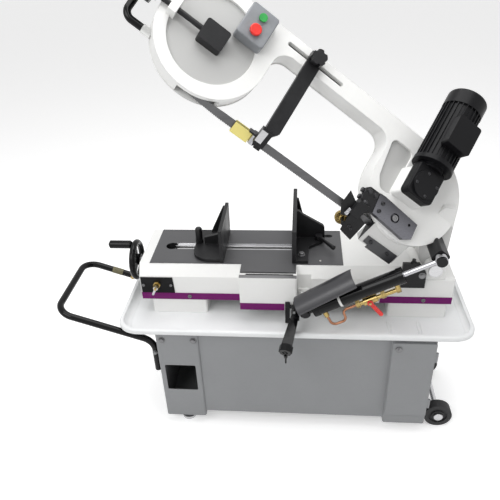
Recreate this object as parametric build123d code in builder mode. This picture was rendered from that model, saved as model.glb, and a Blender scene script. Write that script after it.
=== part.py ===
# Metal-cutting band saw on a cabinet stand: a pivoting saw bow with hydraulic down-feed, a screw vise
# and a chip tray. Millimetres, +Z up, X to the drive end, Y to the back; the origin lies on the floor.
# The model stands as photographed, with the bow raised.
import os
from math import atan2, cos, degrees, pi, radians, sin, sqrt

from build123d import *

os.makedirs("parts", exist_ok=True)

# Datum: front lower corner of the fixed jaw's clamping face, on the table
jaw_x = 109.5
jaw_y = -31.61
table_z = 640.0

# Running and seating clearances
run_gap = 0.05  # shaft in its bore, radial
seat_gap = 0.3  # between pieces that move past each other
sheet = 2.0  # stand and cover sheet

# Vise table and base casting, measured from the datum
table_left = 494.0
table_right = 173.0
table_depth = 226.0
table_front = 5.0
table_plate = 14.0
tongue_left = 173.0
tongue_right = 14.0
tongue_front = 53.0
base_left = 530.0
base_right = 540.0
base_front = 31.0
base_height = 137.0
base_shoulder = 2.0  # painted top below the machined table
bevel_drop = 41.0
base_wall = 12.0
base_roof = 46.0
block_left = 176.0
block_right = 18.0
block_front = 83.0
block_drop = 6.0
blade_slot_left = 156.0
blade_slot_right = 7.0
blade_slot_width = 9.0
blade_slot_depth = 60.0
stripe_drop = 109.0
stripe_height = 27.0
stripe_thickness = 1.5

# Stand, tray and transport gear
tray_drop = 195.0
tray_sheet = 3.0
tray_height = 28.0
tray_left = 590.0
tray_right = 596.0
tray_front = 155.0
tray_back = 252.0
tray_corner = 60.0
rim_out = 12.0
rim_band = 16.0
leg_width = 150.0
stand_left = 470.0
stand_right = 485.0
stand_front = 150.0
stand_depth = 374.0
leg_bottom = 45.0
foot_pad_d = 54.0
foot_pad_h = 12.0
foot_stem_d = 14.0
foot_inset = 45.0
roller_d = 100.0
roller_width = 34.0
roller_hub_d = 46.0
axle_d = 20.0
axle_out = 56.0
handle_d = 24.0
handle_wall = 2.0
handle_near = 127.0
handle_far = 197.0
handle_end = 815.0
handle_end_drop = 131.0
handle_bend_drop = 251.0
handle_leg_drop = 380.0
handle_bend = 56.0

# Lead screw, handwheel and jaws
screw_d = 20.0
screw_y = 107.0
screw_drop = 60.0
slot_width = 14.0
slot_recess = 40.0
slot_recess_depth = 5.0
slot_left = 425.0
keyhole_d = 44.0
jaw_height = 123.0
jaw_plate = 12.0
jaw_gap = 235.0  # opening between the jaws as photographed
movable_jaw_depth = 213.0
fixed_jaw_depth = 330.0
jaw_foot = 12.0
nut_length = 60.0
nut_width = 13.0
handwheel_d = 150.0
handwheel_rim = 22.0
handwheel_out = 46.0  # middle of the rim, left of the base
grip_length = 80.0
grip_d = 30.0

# Saw bow: blade line, wheels and casting
bow_angle = 38.19  # raised as photographed
blade_front = 61.0  # blade plane ahead of the datum
blade_low = 9.5  # middle of the lowered blade above the table
pivot_out = 470.0
pivot_rise = 1.0
pivot_along = 458.3  # from the bow's reference point on the blade to the pivot
wheel_tilt = 40.0  # wheels lean back, the guides twist the blade upright
blade_length = 2480.0
blade_width = 27.0
blade_thickness = 0.9
tooth_pitch = 6.0
tooth_depth = 2.6
wheel_r = 150.0
wheel_width = 30.0
idler_travel = 12.0  # slack the tension screw gives the idler wheel
wheel_flange = 4.0
wheel_shaft_d = 25.0
drive_along = 228.0
box_along = 200.0  # the gearbox stands off the wheel's line
case_margin = 13.0
case_wall = 6.0
case_back = -22.0
case_floor = 24.0
case_face = 34.0
rim_face = 42.0
beam_height = 60.0
throat_r = 48.0
pad_face = 88.0
pad_width = 92.0
pivot_d = 30.0
boss_r = 32.0
lug_r = 36.0
lug_width = 28.0
boss_length = 166.0

# Hydraulic cylinder, ahead of the blade
cylinder_front = 132.0
cylinder_foot_x = 46.0
cylinder_foot_drop = 105.0
cylinder_pitch = 27.24  # slope of its axis with the bow raised
tube_d = 50.0
tube_bore_d = 42.0
tube_start = 30.0
tube_end = 340.0
rod_d = 16.0
pin_d = 14.0
eye_width = 20.0
eye_d = 36.0
rod_eye_play = 4.6  # the rod eye is open on its pin, radial


def level(z):
    return Plane.XY.offset(z)


def facing_front(y):
    return Plane(origin=(0, y, 0), x_dir=(1, 0, 0), z_dir=(0, -1, 0))


def facing_right(x):
    return Plane(origin=(x, 0, 0), x_dir=(0, 1, 0), z_dir=(1, 0, 0))


# Directions of the raised bow: along the blade to the pivot, and square to it
along = Vector(cos(radians(bow_angle)), 0, -sin(radians(bow_angle)))
upright = Vector(sin(radians(bow_angle)), 0, cos(radians(bow_angle)))
back = Vector(0, 1, 0)
pivot_up = pivot_rise - blade_low
pivot_point = Vector(jaw_x + pivot_out, jaw_y - blade_front, table_z + pivot_rise)
blade_point = pivot_point - along * pivot_along - upright * pivot_up

# The wheel plane leans back about the blade line
tilt_cos = cos(radians(wheel_tilt))
tilt_sin = sin(radians(wheel_tilt))
lean = upright * tilt_cos + back * tilt_sin
toward = upright * tilt_sin - back * tilt_cos


def bow_front(y):
    return Plane(origin=blade_point + back * y, x_dir=along, z_dir=(0, -1, 0))


def bow_cross(x):
    return Plane(origin=blade_point + along * x, x_dir=(0, 1, 0), z_dir=along)


def wheel_face(g):
    return Plane(origin=blade_point + toward * g, x_dir=along, z_dir=toward)


def wheel_cross(x):
    return Plane(origin=blade_point + along * x, x_dir=toward * -1, z_dir=along)


def wheel_rise(m):
    return Plane(origin=blade_point + lean * m, x_dir=along, z_dir=lean)


blade_r = wheel_r + seat_gap + blade_thickness / 2
wheel_gap = (blade_length - 2 * pi * blade_r) / 2
idler_along = drive_along - wheel_gap
case_r = wheel_r + case_margin
case_top = blade_r + case_r
beam_low = case_top - beam_height
drive_left = drive_along - case_r
idler_right = idler_along + case_r

# Stand: two folded sheet legs, open under the tray
stand_top = table_z - tray_drop - tray_sheet
leg_height = stand_top - leg_bottom
stand_mid_y = jaw_y - stand_front + stand_depth / 2
left_leg_x = jaw_x - stand_left + leg_width / 2
right_leg_x = jaw_x + stand_right - leg_width / 2
leg_corner = 8.0


with BuildPart() as stand_left_leg:
    with BuildSketch(level(leg_bottom)):
        with Locations((left_leg_x, stand_mid_y)):
            RectangleRounded(leg_width, stand_depth, leg_corner)
    extrude(amount=leg_height)
    with BuildSketch(level(leg_bottom + sheet)):
        with Locations((left_leg_x, stand_mid_y)):
            RectangleRounded(leg_width - 2 * sheet, stand_depth - 2 * sheet, leg_corner - sheet)
    extrude(amount=leg_height, mode=Mode.SUBTRACT)
    with BuildSketch(facing_front(jaw_y - stand_front + leg_corner)):
        with Locations((left_leg_x, table_z - 401.0)):
            RectangleRounded(111.0, 120.0, 6.0)
    extrude(amount=2 * leg_corner, mode=Mode.SUBTRACT)
stand_left_leg.part.label = "stand_left_leg"
export_step(stand_left_leg.part, "parts/stand_left_leg.step")

# Right leg: door opening in front, two ears that carry the roller axle
door_width = leg_width - 6.0
door_bottom = leg_bottom + 50.0
door_top = stand_top - 10.0
door_lap = 12.0
axle_x = jaw_x + stand_right + axle_out
axle_z = roller_d / 2
ear_thickness = 6.0
ear_height = 60.0
ear_r = 24.0
leg_right_x = jaw_x + stand_right
stand_front_y = jaw_y - stand_front
stand_back_y = stand_front_y + stand_depth
ear_inset = 70.0
ear_front_y = stand_front_y + ear_inset
ear_back_y = stand_back_y - ear_inset
with BuildPart() as stand_right_leg:
    with BuildSketch(level(leg_bottom)):
        with Locations((right_leg_x, stand_mid_y)):
            RectangleRounded(leg_width, stand_depth, leg_corner)
    extrude(amount=leg_height)
    with BuildSketch(level(leg_bottom + sheet)):
        with Locations((right_leg_x, stand_mid_y)):
            RectangleRounded(leg_width - 2 * sheet, stand_depth - 2 * sheet, leg_corner - sheet)
    extrude(amount=leg_height, mode=Mode.SUBTRACT)
    with BuildSketch(facing_front(stand_front_y + 2 * sheet)):
        with Locations((right_leg_x, (door_bottom + door_top) / 2)):
            RectangleRounded(door_width - 2 * door_lap, door_top - door_bottom - 2 * door_lap, leg_corner)
    extrude(amount=4 * sheet, mode=Mode.SUBTRACT)
    for y in (ear_front_y + ear_thickness, ear_back_y):
        with BuildSketch(facing_front(y)):
            with BuildLine():
                Polyline(
                    (axle_x, axle_z - ear_r),
                    (leg_right_x, leg_bottom + leg_corner),
                    (leg_right_x, axle_z + ear_height),
                    (axle_x, axle_z + ear_r),
                )
                ThreePointArc(
                    (axle_x, axle_z + ear_r), (axle_x + ear_r, axle_z), (axle_x, axle_z - ear_r)
                )
            make_face()
            with Locations((axle_x, axle_z)):
                Circle(axle_d / 2 + run_gap, mode=Mode.SUBTRACT)
        extrude(amount=ear_thickness)
stand_right_leg.part.label = "stand_right_leg"
export_step(stand_right_leg.part, "parts/stand_right_leg.step")

# Front and rear panels between the legs, with folded lips
panel_left = jaw_x - stand_left + leg_width
panel_right = jaw_x + stand_right - leg_width
panel_bottom = leg_bottom + 20.0
panel_inset = 8.0
panel_lip = 18.0
with BuildPart() as stand_panels:
    for y, inward in ((stand_front_y + panel_inset, 1), (stand_back_y - panel_inset, -1)):
        with BuildSketch(facing_right(panel_left)):
            with BuildLine():
                Polyline(
                    (y + inward * panel_lip, panel_bottom),
                    (y, panel_bottom),
                    (y, stand_top),
                    (y + inward * panel_lip, stand_top),
                    (y + inward * panel_lip, stand_top - sheet),
                    (y + inward * sheet, stand_top - sheet),
                    (y + inward * sheet, panel_bottom + sheet),
                    (y + inward * panel_lip, panel_bottom + sheet),
                    close=True,
                )
            make_face()
        extrude(amount=panel_right - panel_left)
stand_panels.part.label = "stand_panels"
export_step(stand_panels.part, "parts/stand_panels.step")

# Door over the right leg, hung on a knuckle at its right edge
door_sheet = 2.5
door_lip = 8.0
knuckle_d = 9.0
knuckle_length = 40.0
hinge_x = right_leg_x + door_width / 2 + knuckle_d / 2
hinge_y = stand_front_y - seat_gap - knuckle_d / 2
door_back_y = stand_front_y - seat_gap
lock_x = right_leg_x - door_width / 2 + 20.0
lock_z = door_top - 25.0
lock_stem_d = 16.0
lock_knob_d = 22.0
with BuildPart() as stand_door:
    with BuildSketch(facing_front(door_back_y)):
        with Locations((right_leg_x, (door_bottom + door_top) / 2)):
            RectangleRounded(door_width, door_top - door_bottom, 4.0)
    extrude(amount=door_lip)
    with BuildSketch(facing_front(door_back_y)):
        with Locations((right_leg_x, (door_bottom + door_top) / 2)):
            Rectangle(door_width - 2 * door_sheet, door_top - door_bottom - 2 * door_sheet)
    extrude(amount=door_lip - door_sheet, mode=Mode.SUBTRACT)
    for z in (door_bottom + knuckle_length, door_top - 2 * knuckle_length):
        with BuildSketch(level(z)):
            with Locations((hinge_x, hinge_y)):
                Circle(knuckle_d / 2)
            with Locations((hinge_x - knuckle_d / 2, hinge_y)):
                Rectangle(knuckle_d, knuckle_d * 0.6)
        extrude(amount=knuckle_length)
    with BuildSketch(facing_front(door_back_y)):
        with Locations((lock_x, lock_z)):
            Circle(lock_stem_d / 2 + seat_gap)
    extrude(amount=door_lip, mode=Mode.SUBTRACT)
stand_door.part.label = "stand_door"
export_step(stand_door.part, "parts/stand_door.step")

lock_wing = 5.0
with BuildPart() as door_lock:
    with BuildSketch(facing_front(door_back_y)):
        with Locations((lock_x, lock_z)):
            Circle(lock_stem_d / 2)
    extrude(amount=door_lip + seat_gap)
    with BuildSketch(facing_front(door_back_y - door_lip - seat_gap)):
        with Locations((lock_x, lock_z)):
            Circle(lock_knob_d / 2)
    extrude(amount=4.0)
    with BuildSketch(facing_front(door_back_y - door_lip - seat_gap - 4.0)):
        with Locations((lock_x, lock_z)):
            SlotOverall(lock_knob_d - 8.0, lock_wing, rotation=90)
    extrude(amount=3.0)
door_lock.part.label = "door_lock"
export_step(door_lock.part, "parts/door_lock.step")

# Chip tray with a rolled rim and two drain ridges
tray_floor = table_z - tray_drop
tray_mid_x = jaw_x + (tray_right - tray_left) / 2
tray_mid_y = jaw_y + (tray_back - tray_front) / 2
tray_length = tray_left + tray_right
tray_depth = tray_front + tray_back
rim_top = tray_floor - tray_sheet + tray_height
ridge_xs = (330.0, 430.0)
ridge_width = 14.0
ridge_length = 92.0
ridge_height = 5.0
with BuildPart() as chip_tray:
    with BuildSketch(level(tray_floor - tray_sheet)):
        with Locations((tray_mid_x, tray_mid_y)):
            RectangleRounded(tray_length, tray_depth, tray_corner)
    extrude(amount=tray_height)
    with BuildSketch(level(rim_top - rim_band)):
        with Locations((tray_mid_x, tray_mid_y)):
            RectangleRounded(tray_length + 2 * rim_out, tray_depth + 2 * rim_out, tray_corner + rim_out)
    extrude(amount=rim_band)
    fillet(faces().sort_by(Axis.Z)[-1].outer_wire().edges(), rim_out - 4.0)
    with BuildSketch(level(tray_floor)):
        with Locations((tray_mid_x, tray_mid_y)):
            RectangleRounded(tray_length - 2 * tray_sheet, tray_depth - 2 * tray_sheet, tray_corner - tray_sheet)
    extrude(amount=tray_height, mode=Mode.SUBTRACT)
    for x in ridge_xs:
        with BuildSketch(level(tray_floor)):
            with Locations((jaw_x + x, jaw_y - tray_front + ridge_length / 2 + 6.0)):
                SlotOverall(ridge_length, ridge_width, rotation=90)
        extrude(amount=ridge_height, taper=35)
chip_tray.part.label = "chip_tray"
export_step(chip_tray.part, "parts/chip_tray.step")

# Two levelling feet under the left leg
with BuildPart() as levelling_feet:
    for y in (stand_front_y + foot_inset, stand_back_y - foot_inset):
        with BuildSketch(level(0)):
            with Locations((left_leg_x, y)):
                Circle(foot_pad_d / 2)
        extrude(amount=foot_pad_h)
        with BuildSketch(level(foot_pad_h)):
            with Locations((left_leg_x, y)):
                Circle(foot_stem_d / 2)
        extrude(amount=leg_bottom - foot_pad_h)
levelling_feet.part.label = "levelling_feet"
export_step(levelling_feet.part, "parts/levelling_feet.step")

# Roller axle with end collars, and its two transport rollers outside the ears
roller_gap = 2.0
collar_d = 32.0
collar_width = 5.0
front_roller_y = ear_front_y - roller_gap
back_roller_y = ear_back_y + roller_gap + roller_width
axle_front_y = front_roller_y - roller_width - roller_gap
axle_back_y = back_roller_y + roller_gap
with BuildPart() as roller_axle:
    with BuildSketch(facing_front(axle_back_y)):
        with Locations((axle_x, axle_z)):
            Circle(axle_d / 2)
    extrude(amount=axle_back_y - axle_front_y)
    for y in (axle_front_y, axle_back_y + collar_width):
        with BuildSketch(facing_front(y)):
            with Locations((axle_x, axle_z)):
                Circle(collar_d / 2)
        extrude(amount=collar_width)
roller_axle.part.label = "roller_axle"
export_step(roller_axle.part, "parts/roller_axle.step")

roller_dish = 6.0
with BuildPart() as roller_front:
    with BuildSketch(facing_front(front_roller_y)):
        with Locations((axle_x, axle_z)):
            Circle(roller_d / 2)
            Circle(axle_d / 2 + run_gap, mode=Mode.SUBTRACT)
    extrude(amount=roller_width)
    with BuildSketch(facing_front(front_roller_y - roller_width + roller_dish)):
        with Locations((axle_x, axle_z)):
            Circle(roller_d / 2 - 16.0)
            Circle(roller_hub_d / 2, mode=Mode.SUBTRACT)
    extrude(amount=roller_dish, mode=Mode.SUBTRACT)
roller_front.part.label = "roller_front"
export_step(roller_front.part, "parts/roller_front.step")

with BuildPart() as roller_back:
    with BuildSketch(facing_front(back_roller_y)):
        with Locations((axle_x, axle_z)):
            Circle(roller_d / 2)
            Circle(axle_d / 2 + run_gap, mode=Mode.SUBTRACT)
    extrude(amount=roller_width)
    with BuildSketch(facing_front(back_roller_y)):
        with Locations((axle_x, axle_z)):
            Circle(roller_d / 2 - 16.0)
            Circle(roller_hub_d / 2, mode=Mode.SUBTRACT)
    extrude(amount=roller_dish, mode=Mode.SUBTRACT)
roller_back.part.label = "roller_back"
export_step(roller_back.part, "parts/roller_back.step")

# Transport handle: one bent tube, bolted flat to the left leg
handle_x = jaw_x - stand_left - handle_d / 2
handle_near_y = jaw_y - handle_near
handle_far_y = jaw_y + handle_far
with BuildPart() as transport_handle:
    with BuildLine() as handle_path:
        FilletPolyline(
            (handle_x, handle_near_y, table_z - handle_leg_drop),
            (handle_x, handle_near_y, table_z - handle_bend_drop),
            (jaw_x - handle_end, handle_near_y, table_z - handle_end_drop),
            (jaw_x - handle_end, handle_far_y, table_z - handle_end_drop),
            (handle_x, handle_far_y, table_z - handle_bend_drop),
            (handle_x, handle_far_y, table_z - handle_leg_drop),
            radius=handle_bend,
        )
    with BuildSketch(Plane(origin=handle_path.line @ 0, z_dir=handle_path.line % 0)):
        Circle(handle_d / 2)
        Circle(handle_d / 2 - handle_wall, mode=Mode.SUBTRACT)
    sweep(path=handle_path.line)
transport_handle.part.label = "transport_handle"
export_step(transport_handle.part, "parts/transport_handle.step")

# Cast foot blocks between tray and base
base_bottom = table_z - base_height
foot_left = (497.0, 300.0)
foot_right = (330.0, 528.0)
foot_depth = 230.0
foot_round = 8.0
foot_wall = 10.0
with BuildPart() as base_feet:
    with BuildSketch(level(tray_floor)):
        foot_mid_y = jaw_y - base_front + foot_depth / 2
        with Locations((jaw_x - (foot_left[0] + foot_left[1]) / 2, foot_mid_y)):
            RectangleRounded(foot_left[0] - foot_left[1], foot_depth, foot_round)
        with Locations((jaw_x + (foot_right[0] + foot_right[1]) / 2, foot_mid_y)):
            RectangleRounded(foot_right[1] - foot_right[0], foot_depth, foot_round)
    extrude(amount=base_bottom - tray_floor)
    with BuildSketch(level(tray_floor)):
        with Locations((jaw_x - (foot_left[0] + foot_left[1]) / 2, foot_mid_y)):
            Rectangle(foot_left[0] - foot_left[1] - 2 * foot_wall, foot_depth - 2 * foot_wall)
        with Locations((jaw_x + (foot_right[0] + foot_right[1]) / 2, foot_mid_y)):
            Rectangle(foot_right[1] - foot_right[0] - 2 * foot_wall, foot_depth - 2 * foot_wall)
    extrude(amount=base_bottom - tray_floor - foot_wall, mode=Mode.SUBTRACT)
base_feet.part.label = "base_feet"
export_step(base_feet.part, "parts/base_feet.step")

# Base casting: hollow from below, bevelled front, a block ahead of the vise with the blade slot
front_y = jaw_y - base_front
back_y = jaw_y + table_depth
base_top = table_z - base_shoulder
screw_z = table_z - screw_drop
screw_line_y = jaw_y + screw_y
base_left_x = jaw_x - base_left
base_right_x = jaw_x + base_right
block_left_x = jaw_x - block_left
block_right_x = jaw_x + block_right
block_front_y = jaw_y - block_front
pivot_x = jaw_x + pivot_out
pivot_z = table_z + pivot_rise
pivot_seat = 34.0  # floor of the bow pivot's pocket, below the table
pivot_pocket_x = jaw_x + 400.0
lug_front_y = jaw_y - base_front
boss_front_y = lug_front_y + lug_width + 1.0
boss_back_y = boss_front_y + boss_length
lug_back_y = boss_back_y + 1.0
notch_depth = 8.0
notch_width = 47.0
bearing_length = 20.0
bearing_side = 44.0
screw_end_x = jaw_x + 2.0
tongue_mid_y = jaw_y - (tongue_front + table_front) / 2
with BuildSketch(level(table_z - table_plate)) as table_outline:
    with BuildLine():
        Polyline(
            (jaw_x - table_left, jaw_y - table_front),
            (jaw_x - tongue_left, jaw_y - table_front),
            (jaw_x - tongue_left, jaw_y - tongue_front),
            (jaw_x + tongue_right, jaw_y - tongue_front),
            (jaw_x + tongue_right, jaw_y - table_front),
            (jaw_x + table_right, jaw_y - table_front),
            (jaw_x + table_right, back_y),
            (jaw_x - table_left, back_y),
            close=True,
        )
    make_face()
with BuildPart() as base_casting:
    with BuildSketch(facing_right(base_left_x)):
        with BuildLine():
            Polyline(
                (front_y, base_bottom),
                (front_y, table_z - bevel_drop),
                (jaw_y - table_front, base_top),
                (back_y, base_top),
                (back_y, base_bottom),
                close=True,
            )
        make_face()
    extrude(amount=base_right_x - base_left_x)
    with BuildSketch(level(base_bottom)):
        with BuildLine():
            Polyline(
                (block_left_x, front_y + base_wall),
                (block_left_x, block_front_y),
                (block_right_x, block_front_y),
                (block_right_x, front_y + base_wall),
                close=True,
            )
        make_face()
    extrude(amount=base_height - block_drop)
    fillet(edges().filter_by(Axis.Z).group_by(Axis.Y)[0], 6.0)
    with BuildSketch(level(base_bottom)):
        with BuildLine():
            Polyline(
                (base_left_x + base_wall, front_y + base_wall),
                (base_right_x - base_wall, front_y + base_wall),
                (base_right_x - base_wall, back_y - base_wall),
                (base_left_x + base_wall, back_y - base_wall),
                close=True,
            )
        make_face()
    extrude(amount=base_height - base_roof, mode=Mode.SUBTRACT)
    with BuildSketch(level(base_bottom)):
        with Locations((block_right_x + notch_width / 2, front_y + notch_depth / 2)):
            Rectangle(notch_width, notch_depth)
    extrude(amount=base_height, mode=Mode.SUBTRACT)
    extrude(table_outline.sketch, amount=table_plate, mode=Mode.SUBTRACT)
    with BuildSketch(level(table_z - pivot_seat)):
        with Locations(((pivot_pocket_x + base_right_x) / 2, (front_y + back_y) / 2)):
            Rectangle(base_right_x - pivot_pocket_x, back_y - front_y + 2.0)
    extrude(amount=pivot_seat, mode=Mode.SUBTRACT)
    for y in (boss_front_y - 1.0, lug_back_y + lug_width):
        with BuildSketch(facing_front(y)):
            with Locations((pivot_x, pivot_z)):
                Circle(lug_r)
            with Locations((pivot_x, (pivot_z + table_z - pivot_seat) / 2)):
                Rectangle(2 * lug_r, pivot_z - table_z + pivot_seat)
        extrude(amount=lug_width)
    with BuildSketch(facing_front(lug_back_y + lug_width)):
        with Locations((pivot_x, pivot_z)):
            Circle(pivot_d / 2 + run_gap)
    extrude(amount=lug_back_y + 2 * lug_width - front_y, mode=Mode.SUBTRACT)
    with BuildSketch(facing_right(screw_end_x)):
        with Locations((screw_line_y, screw_z - 1.0)):
            Rectangle(bearing_side, 2 * (base_roof - screw_drop + bearing_side))
    extrude(amount=bearing_length)
    with BuildSketch(facing_right(base_left_x - base_wall)):
        with Locations((screw_line_y, screw_z)):
            Circle(bearing_side / 2)
    extrude(amount=base_wall)
    with BuildSketch(facing_right(base_left_x - base_wall)):
        with Locations((screw_line_y, screw_z)):
            Circle(screw_d / 2 + run_gap)
    extrude(amount=screw_end_x + bearing_length * 0.75 - base_left_x + base_wall, mode=Mode.SUBTRACT)
    with BuildSketch(level(table_z - base_roof)):
        with Locations((jaw_x - slot_left / 2 - 10.0, screw_line_y)):
            SlotOverall(slot_left + 30.0, slot_width + 4.0)
        with Locations((jaw_x - slot_left - keyhole_d / 4, screw_line_y)):
            Circle(keyhole_d / 2 + 1.0)
        with Locations((jaw_x + 129.0, jaw_y + 186.0)):
            SlotOverall(34.0, 12.0)
    extrude(amount=base_roof, mode=Mode.SUBTRACT)
    with BuildSketch(level(table_z - block_drop - blade_slot_depth)):
        with Locations((jaw_x - (blade_slot_left - blade_slot_right) / 2, jaw_y - blade_front)):
            SlotOverall(blade_slot_left + blade_slot_right, blade_slot_width)
    extrude(amount=blade_slot_depth, mode=Mode.SUBTRACT)
base_casting.part.label = "base_casting"
export_step(base_casting.part, "parts/base_casting.step")

# Machined vise table with the lead-screw slot, its shallow recess and the swivel pin hole
swivel_x = jaw_x + 30.0
swivel_y = jaw_y + 20.0
swivel_d = 16.0
swivel_depth = 10.0
clamp_slot_out = 129.0
clamp_slot_back = 186.0
clamp_slot = 30.0
clamp_slot_width = 20.0
with BuildPart() as vise_table:
    extrude(table_outline.sketch, amount=table_plate)
    with BuildSketch(level(table_z - slot_recess_depth)):
        with Locations((jaw_x - slot_left / 2 - 1.0, screw_line_y)):
            Rectangle(slot_left - 2.0, slot_recess)
    extrude(amount=slot_recess_depth, mode=Mode.SUBTRACT)
    with BuildSketch(level(table_z - table_plate)):
        with Locations((jaw_x - slot_left - keyhole_d / 4, screw_line_y)):
            Circle(keyhole_d / 2)
        with Locations((jaw_x + clamp_slot_out, jaw_y + clamp_slot_back)):
            SlotOverall(clamp_slot, clamp_slot_width)
        with Locations((jaw_x - slot_left / 2 - 4.0, screw_line_y)):
            SlotOverall(slot_left + 4.0, slot_width)
    extrude(amount=table_plate, mode=Mode.SUBTRACT)
    with BuildSketch(level(table_z - swivel_depth)):
        with Locations((swivel_x, swivel_y)):
            Circle(swivel_d / 2 + run_gap)
    extrude(amount=swivel_depth, mode=Mode.SUBTRACT)
vise_table.part.label = "vise_table"
export_step(vise_table.part, "parts/vise_table.step")

# Coloured trim strips along the foot of the base
stripe_mid_z = table_z - stripe_drop - stripe_height / 2
stripe_right_x = jaw_x + 300.0
with BuildPart() as trim_stripes:
    with BuildSketch(facing_front(front_y)):
        with Locations(((base_left_x + block_left_x) / 2, stripe_mid_z)):
            Rectangle(block_left_x - base_left_x, stripe_height)
        with Locations(((stripe_right_x + base_right_x) / 2, stripe_mid_z)):
            Rectangle(base_right_x - stripe_right_x, stripe_height)
    extrude(amount=stripe_thickness)
    with BuildSketch(facing_front(block_front_y)):
        with Locations(((block_left_x + jaw_x - 24.0) / 2 + 3.0, stripe_mid_z)):
            Rectangle(jaw_x - 24.0 - block_left_x - 6.0, stripe_height)
    extrude(amount=stripe_thickness)
trim_stripes.part.label = "trim_stripes"
export_step(trim_stripes.part, "parts/trim_stripes.step")

# Cover plate and coolant tap at the left of the base
plate_left = 527.0
plate_right_top = 414.0
plate_right_low = 410.0
plate_top = 44.0
plate_low = 107.0
plate_thickness = 3.0
tap_x = jaw_x - 470.0
tap_z = table_z - 72.0
tap_d = 18.0
tap_length = 22.0
tap_spindle_d = 9.0
plate_face_y = front_y - plate_thickness
with BuildPart() as tap_plate:
    with BuildSketch(facing_front(front_y)):
        with BuildLine():
            Polyline(
                (jaw_x - plate_left, table_z - plate_low),
                (jaw_x - plate_right_low, table_z - plate_low),
                (jaw_x - plate_right_top, table_z - plate_top),
                (jaw_x - plate_left, table_z - plate_top),
                close=True,
            )
        make_face()
    extrude(amount=plate_thickness)
tap_plate.part.label = "tap_plate"
export_step(tap_plate.part, "parts/tap_plate.step")

tap_nose = 10.0
with BuildPart() as coolant_tap:
    with BuildSketch(facing_front(plate_face_y)):
        with Locations((tap_x, tap_z)):
            RegularPolygon(tap_d / 2 + 4.0, 6)
    extrude(amount=6.0)
    with BuildSketch(facing_front(plate_face_y - 6.0)):
        with Locations((tap_x, tap_z)):
            Circle(tap_d / 2)
    extrude(amount=tap_length - 6.0)
    with BuildSketch(facing_front(plate_face_y - tap_length)):
        with Locations((tap_x, tap_z)):
            Circle(tap_spindle_d / 2)
    extrude(amount=tap_nose)
coolant_tap.part.label = "coolant_tap"
export_step(coolant_tap.part, "parts/coolant_tap.step")

tap_lever_length = 30.0
tap_lever_turn = -25.0
with BuildPart() as tap_lever:
    with BuildSketch(facing_front(plate_face_y - tap_length - seat_gap)):
        with Locations((tap_x, tap_z)):
            Circle(tap_d / 2 - 1.0)
        with Locations(Location((tap_x, tap_z), tap_lever_turn)):
            with Locations((0, -tap_lever_length / 2)):
                SlotOverall(tap_lever_length, 8.0, rotation=90)
        with Locations((tap_x, tap_z)):
            Circle(tap_spindle_d / 2 + run_gap, mode=Mode.SUBTRACT)
    extrude(amount=5.0)
tap_lever.part.label = "tap_lever"
export_step(tap_lever.part, "parts/tap_lever.step")

# Lead screw through the base, turned by the handwheel
wheel_x = base_left_x - handwheel_out
rim_r = (handwheel_d - handwheel_rim) / 2
hub_d = 42.0
hub_length = 34.0
with BuildPart() as lead_screw:
    with BuildSketch(facing_right(wheel_x - hub_length / 2)):
        with Locations((screw_line_y, screw_z)):
            Circle(screw_d / 2)
    extrude(amount=screw_end_x + bearing_length * 0.6 - wheel_x + hub_length / 2)
lead_screw.part.label = "lead_screw"
export_step(lead_screw.part, "parts/lead_screw.step")

spoke_width = 15.0
spoke_depth = 10.0
grip_pin_d = 10.0
grip_z = screw_z + rim_r
with BuildPart() as handwheel:
    with BuildSketch(Plane(origin=(wheel_x, screw_line_y, screw_z), x_dir=(1, 0, 0), z_dir=(0, -1, 0))):
        with Locations((0, rim_r)):
            Circle(handwheel_rim / 2)
    revolve(axis=Axis((wheel_x, screw_line_y, screw_z), (1, 0, 0)))
    with BuildSketch(facing_right(wheel_x - spoke_depth / 2)):
        with Locations((screw_line_y, screw_z)):
            with PolarLocations(rim_r / 2, 3, start_angle=90):
                Rectangle(rim_r, spoke_width)
    extrude(amount=spoke_depth)
    with BuildSketch(facing_right(wheel_x - hub_length / 2)):
        with Locations((screw_line_y, screw_z)):
            Circle(hub_d / 2)
    extrude(amount=hub_length)
    with BuildSketch(facing_right(wheel_x - hub_length / 2 - 1.0)):
        with Locations((screw_line_y, screw_z)):
            Circle(screw_d / 2 + run_gap)
    extrude(amount=hub_length + 2.0, mode=Mode.SUBTRACT)
    with BuildSketch(facing_right(wheel_x)):
        with Locations((screw_line_y, grip_z)):
            Circle(grip_pin_d / 2)
    extrude(amount=-(handwheel_rim / 2 + grip_length + 4.0))
    with BuildSketch(facing_right(wheel_x - handwheel_rim / 2 - grip_length - 4.0)):
        with Locations((screw_line_y, grip_z)):
            Circle(grip_pin_d / 2 + 2.5)
    extrude(amount=2.5)
handwheel.part.label = "handwheel"
export_step(handwheel.part, "parts/handwheel.step")

# Free-turning grip on the handwheel's pin
grip_right = -handwheel_rim / 2 - 0.5
with BuildPart() as crank_grip:
    with BuildSketch(Plane(origin=(wheel_x, screw_line_y, grip_z), x_dir=(1, 0, 0), z_dir=(0, -1, 0))):
        with BuildLine():
            Polyline(
                (grip_right, grip_pin_d / 2 + run_gap),
                (grip_right, grip_d / 2 - 3.0),
                (grip_right - 4.0, grip_d / 2),
                (grip_right - grip_length + 2.0, grip_d / 2),
                (grip_right - grip_length, grip_d / 2 - 2.0),
                (grip_right - grip_length, grip_pin_d / 2 + run_gap),
                close=True,
            )
        make_face()
    revolve(axis=Axis((wheel_x, screw_line_y, grip_z), (1, 0, 0)))
crank_grip.part.label = "crank_grip"
export_step(crank_grip.part, "parts/crank_grip.step")

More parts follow.
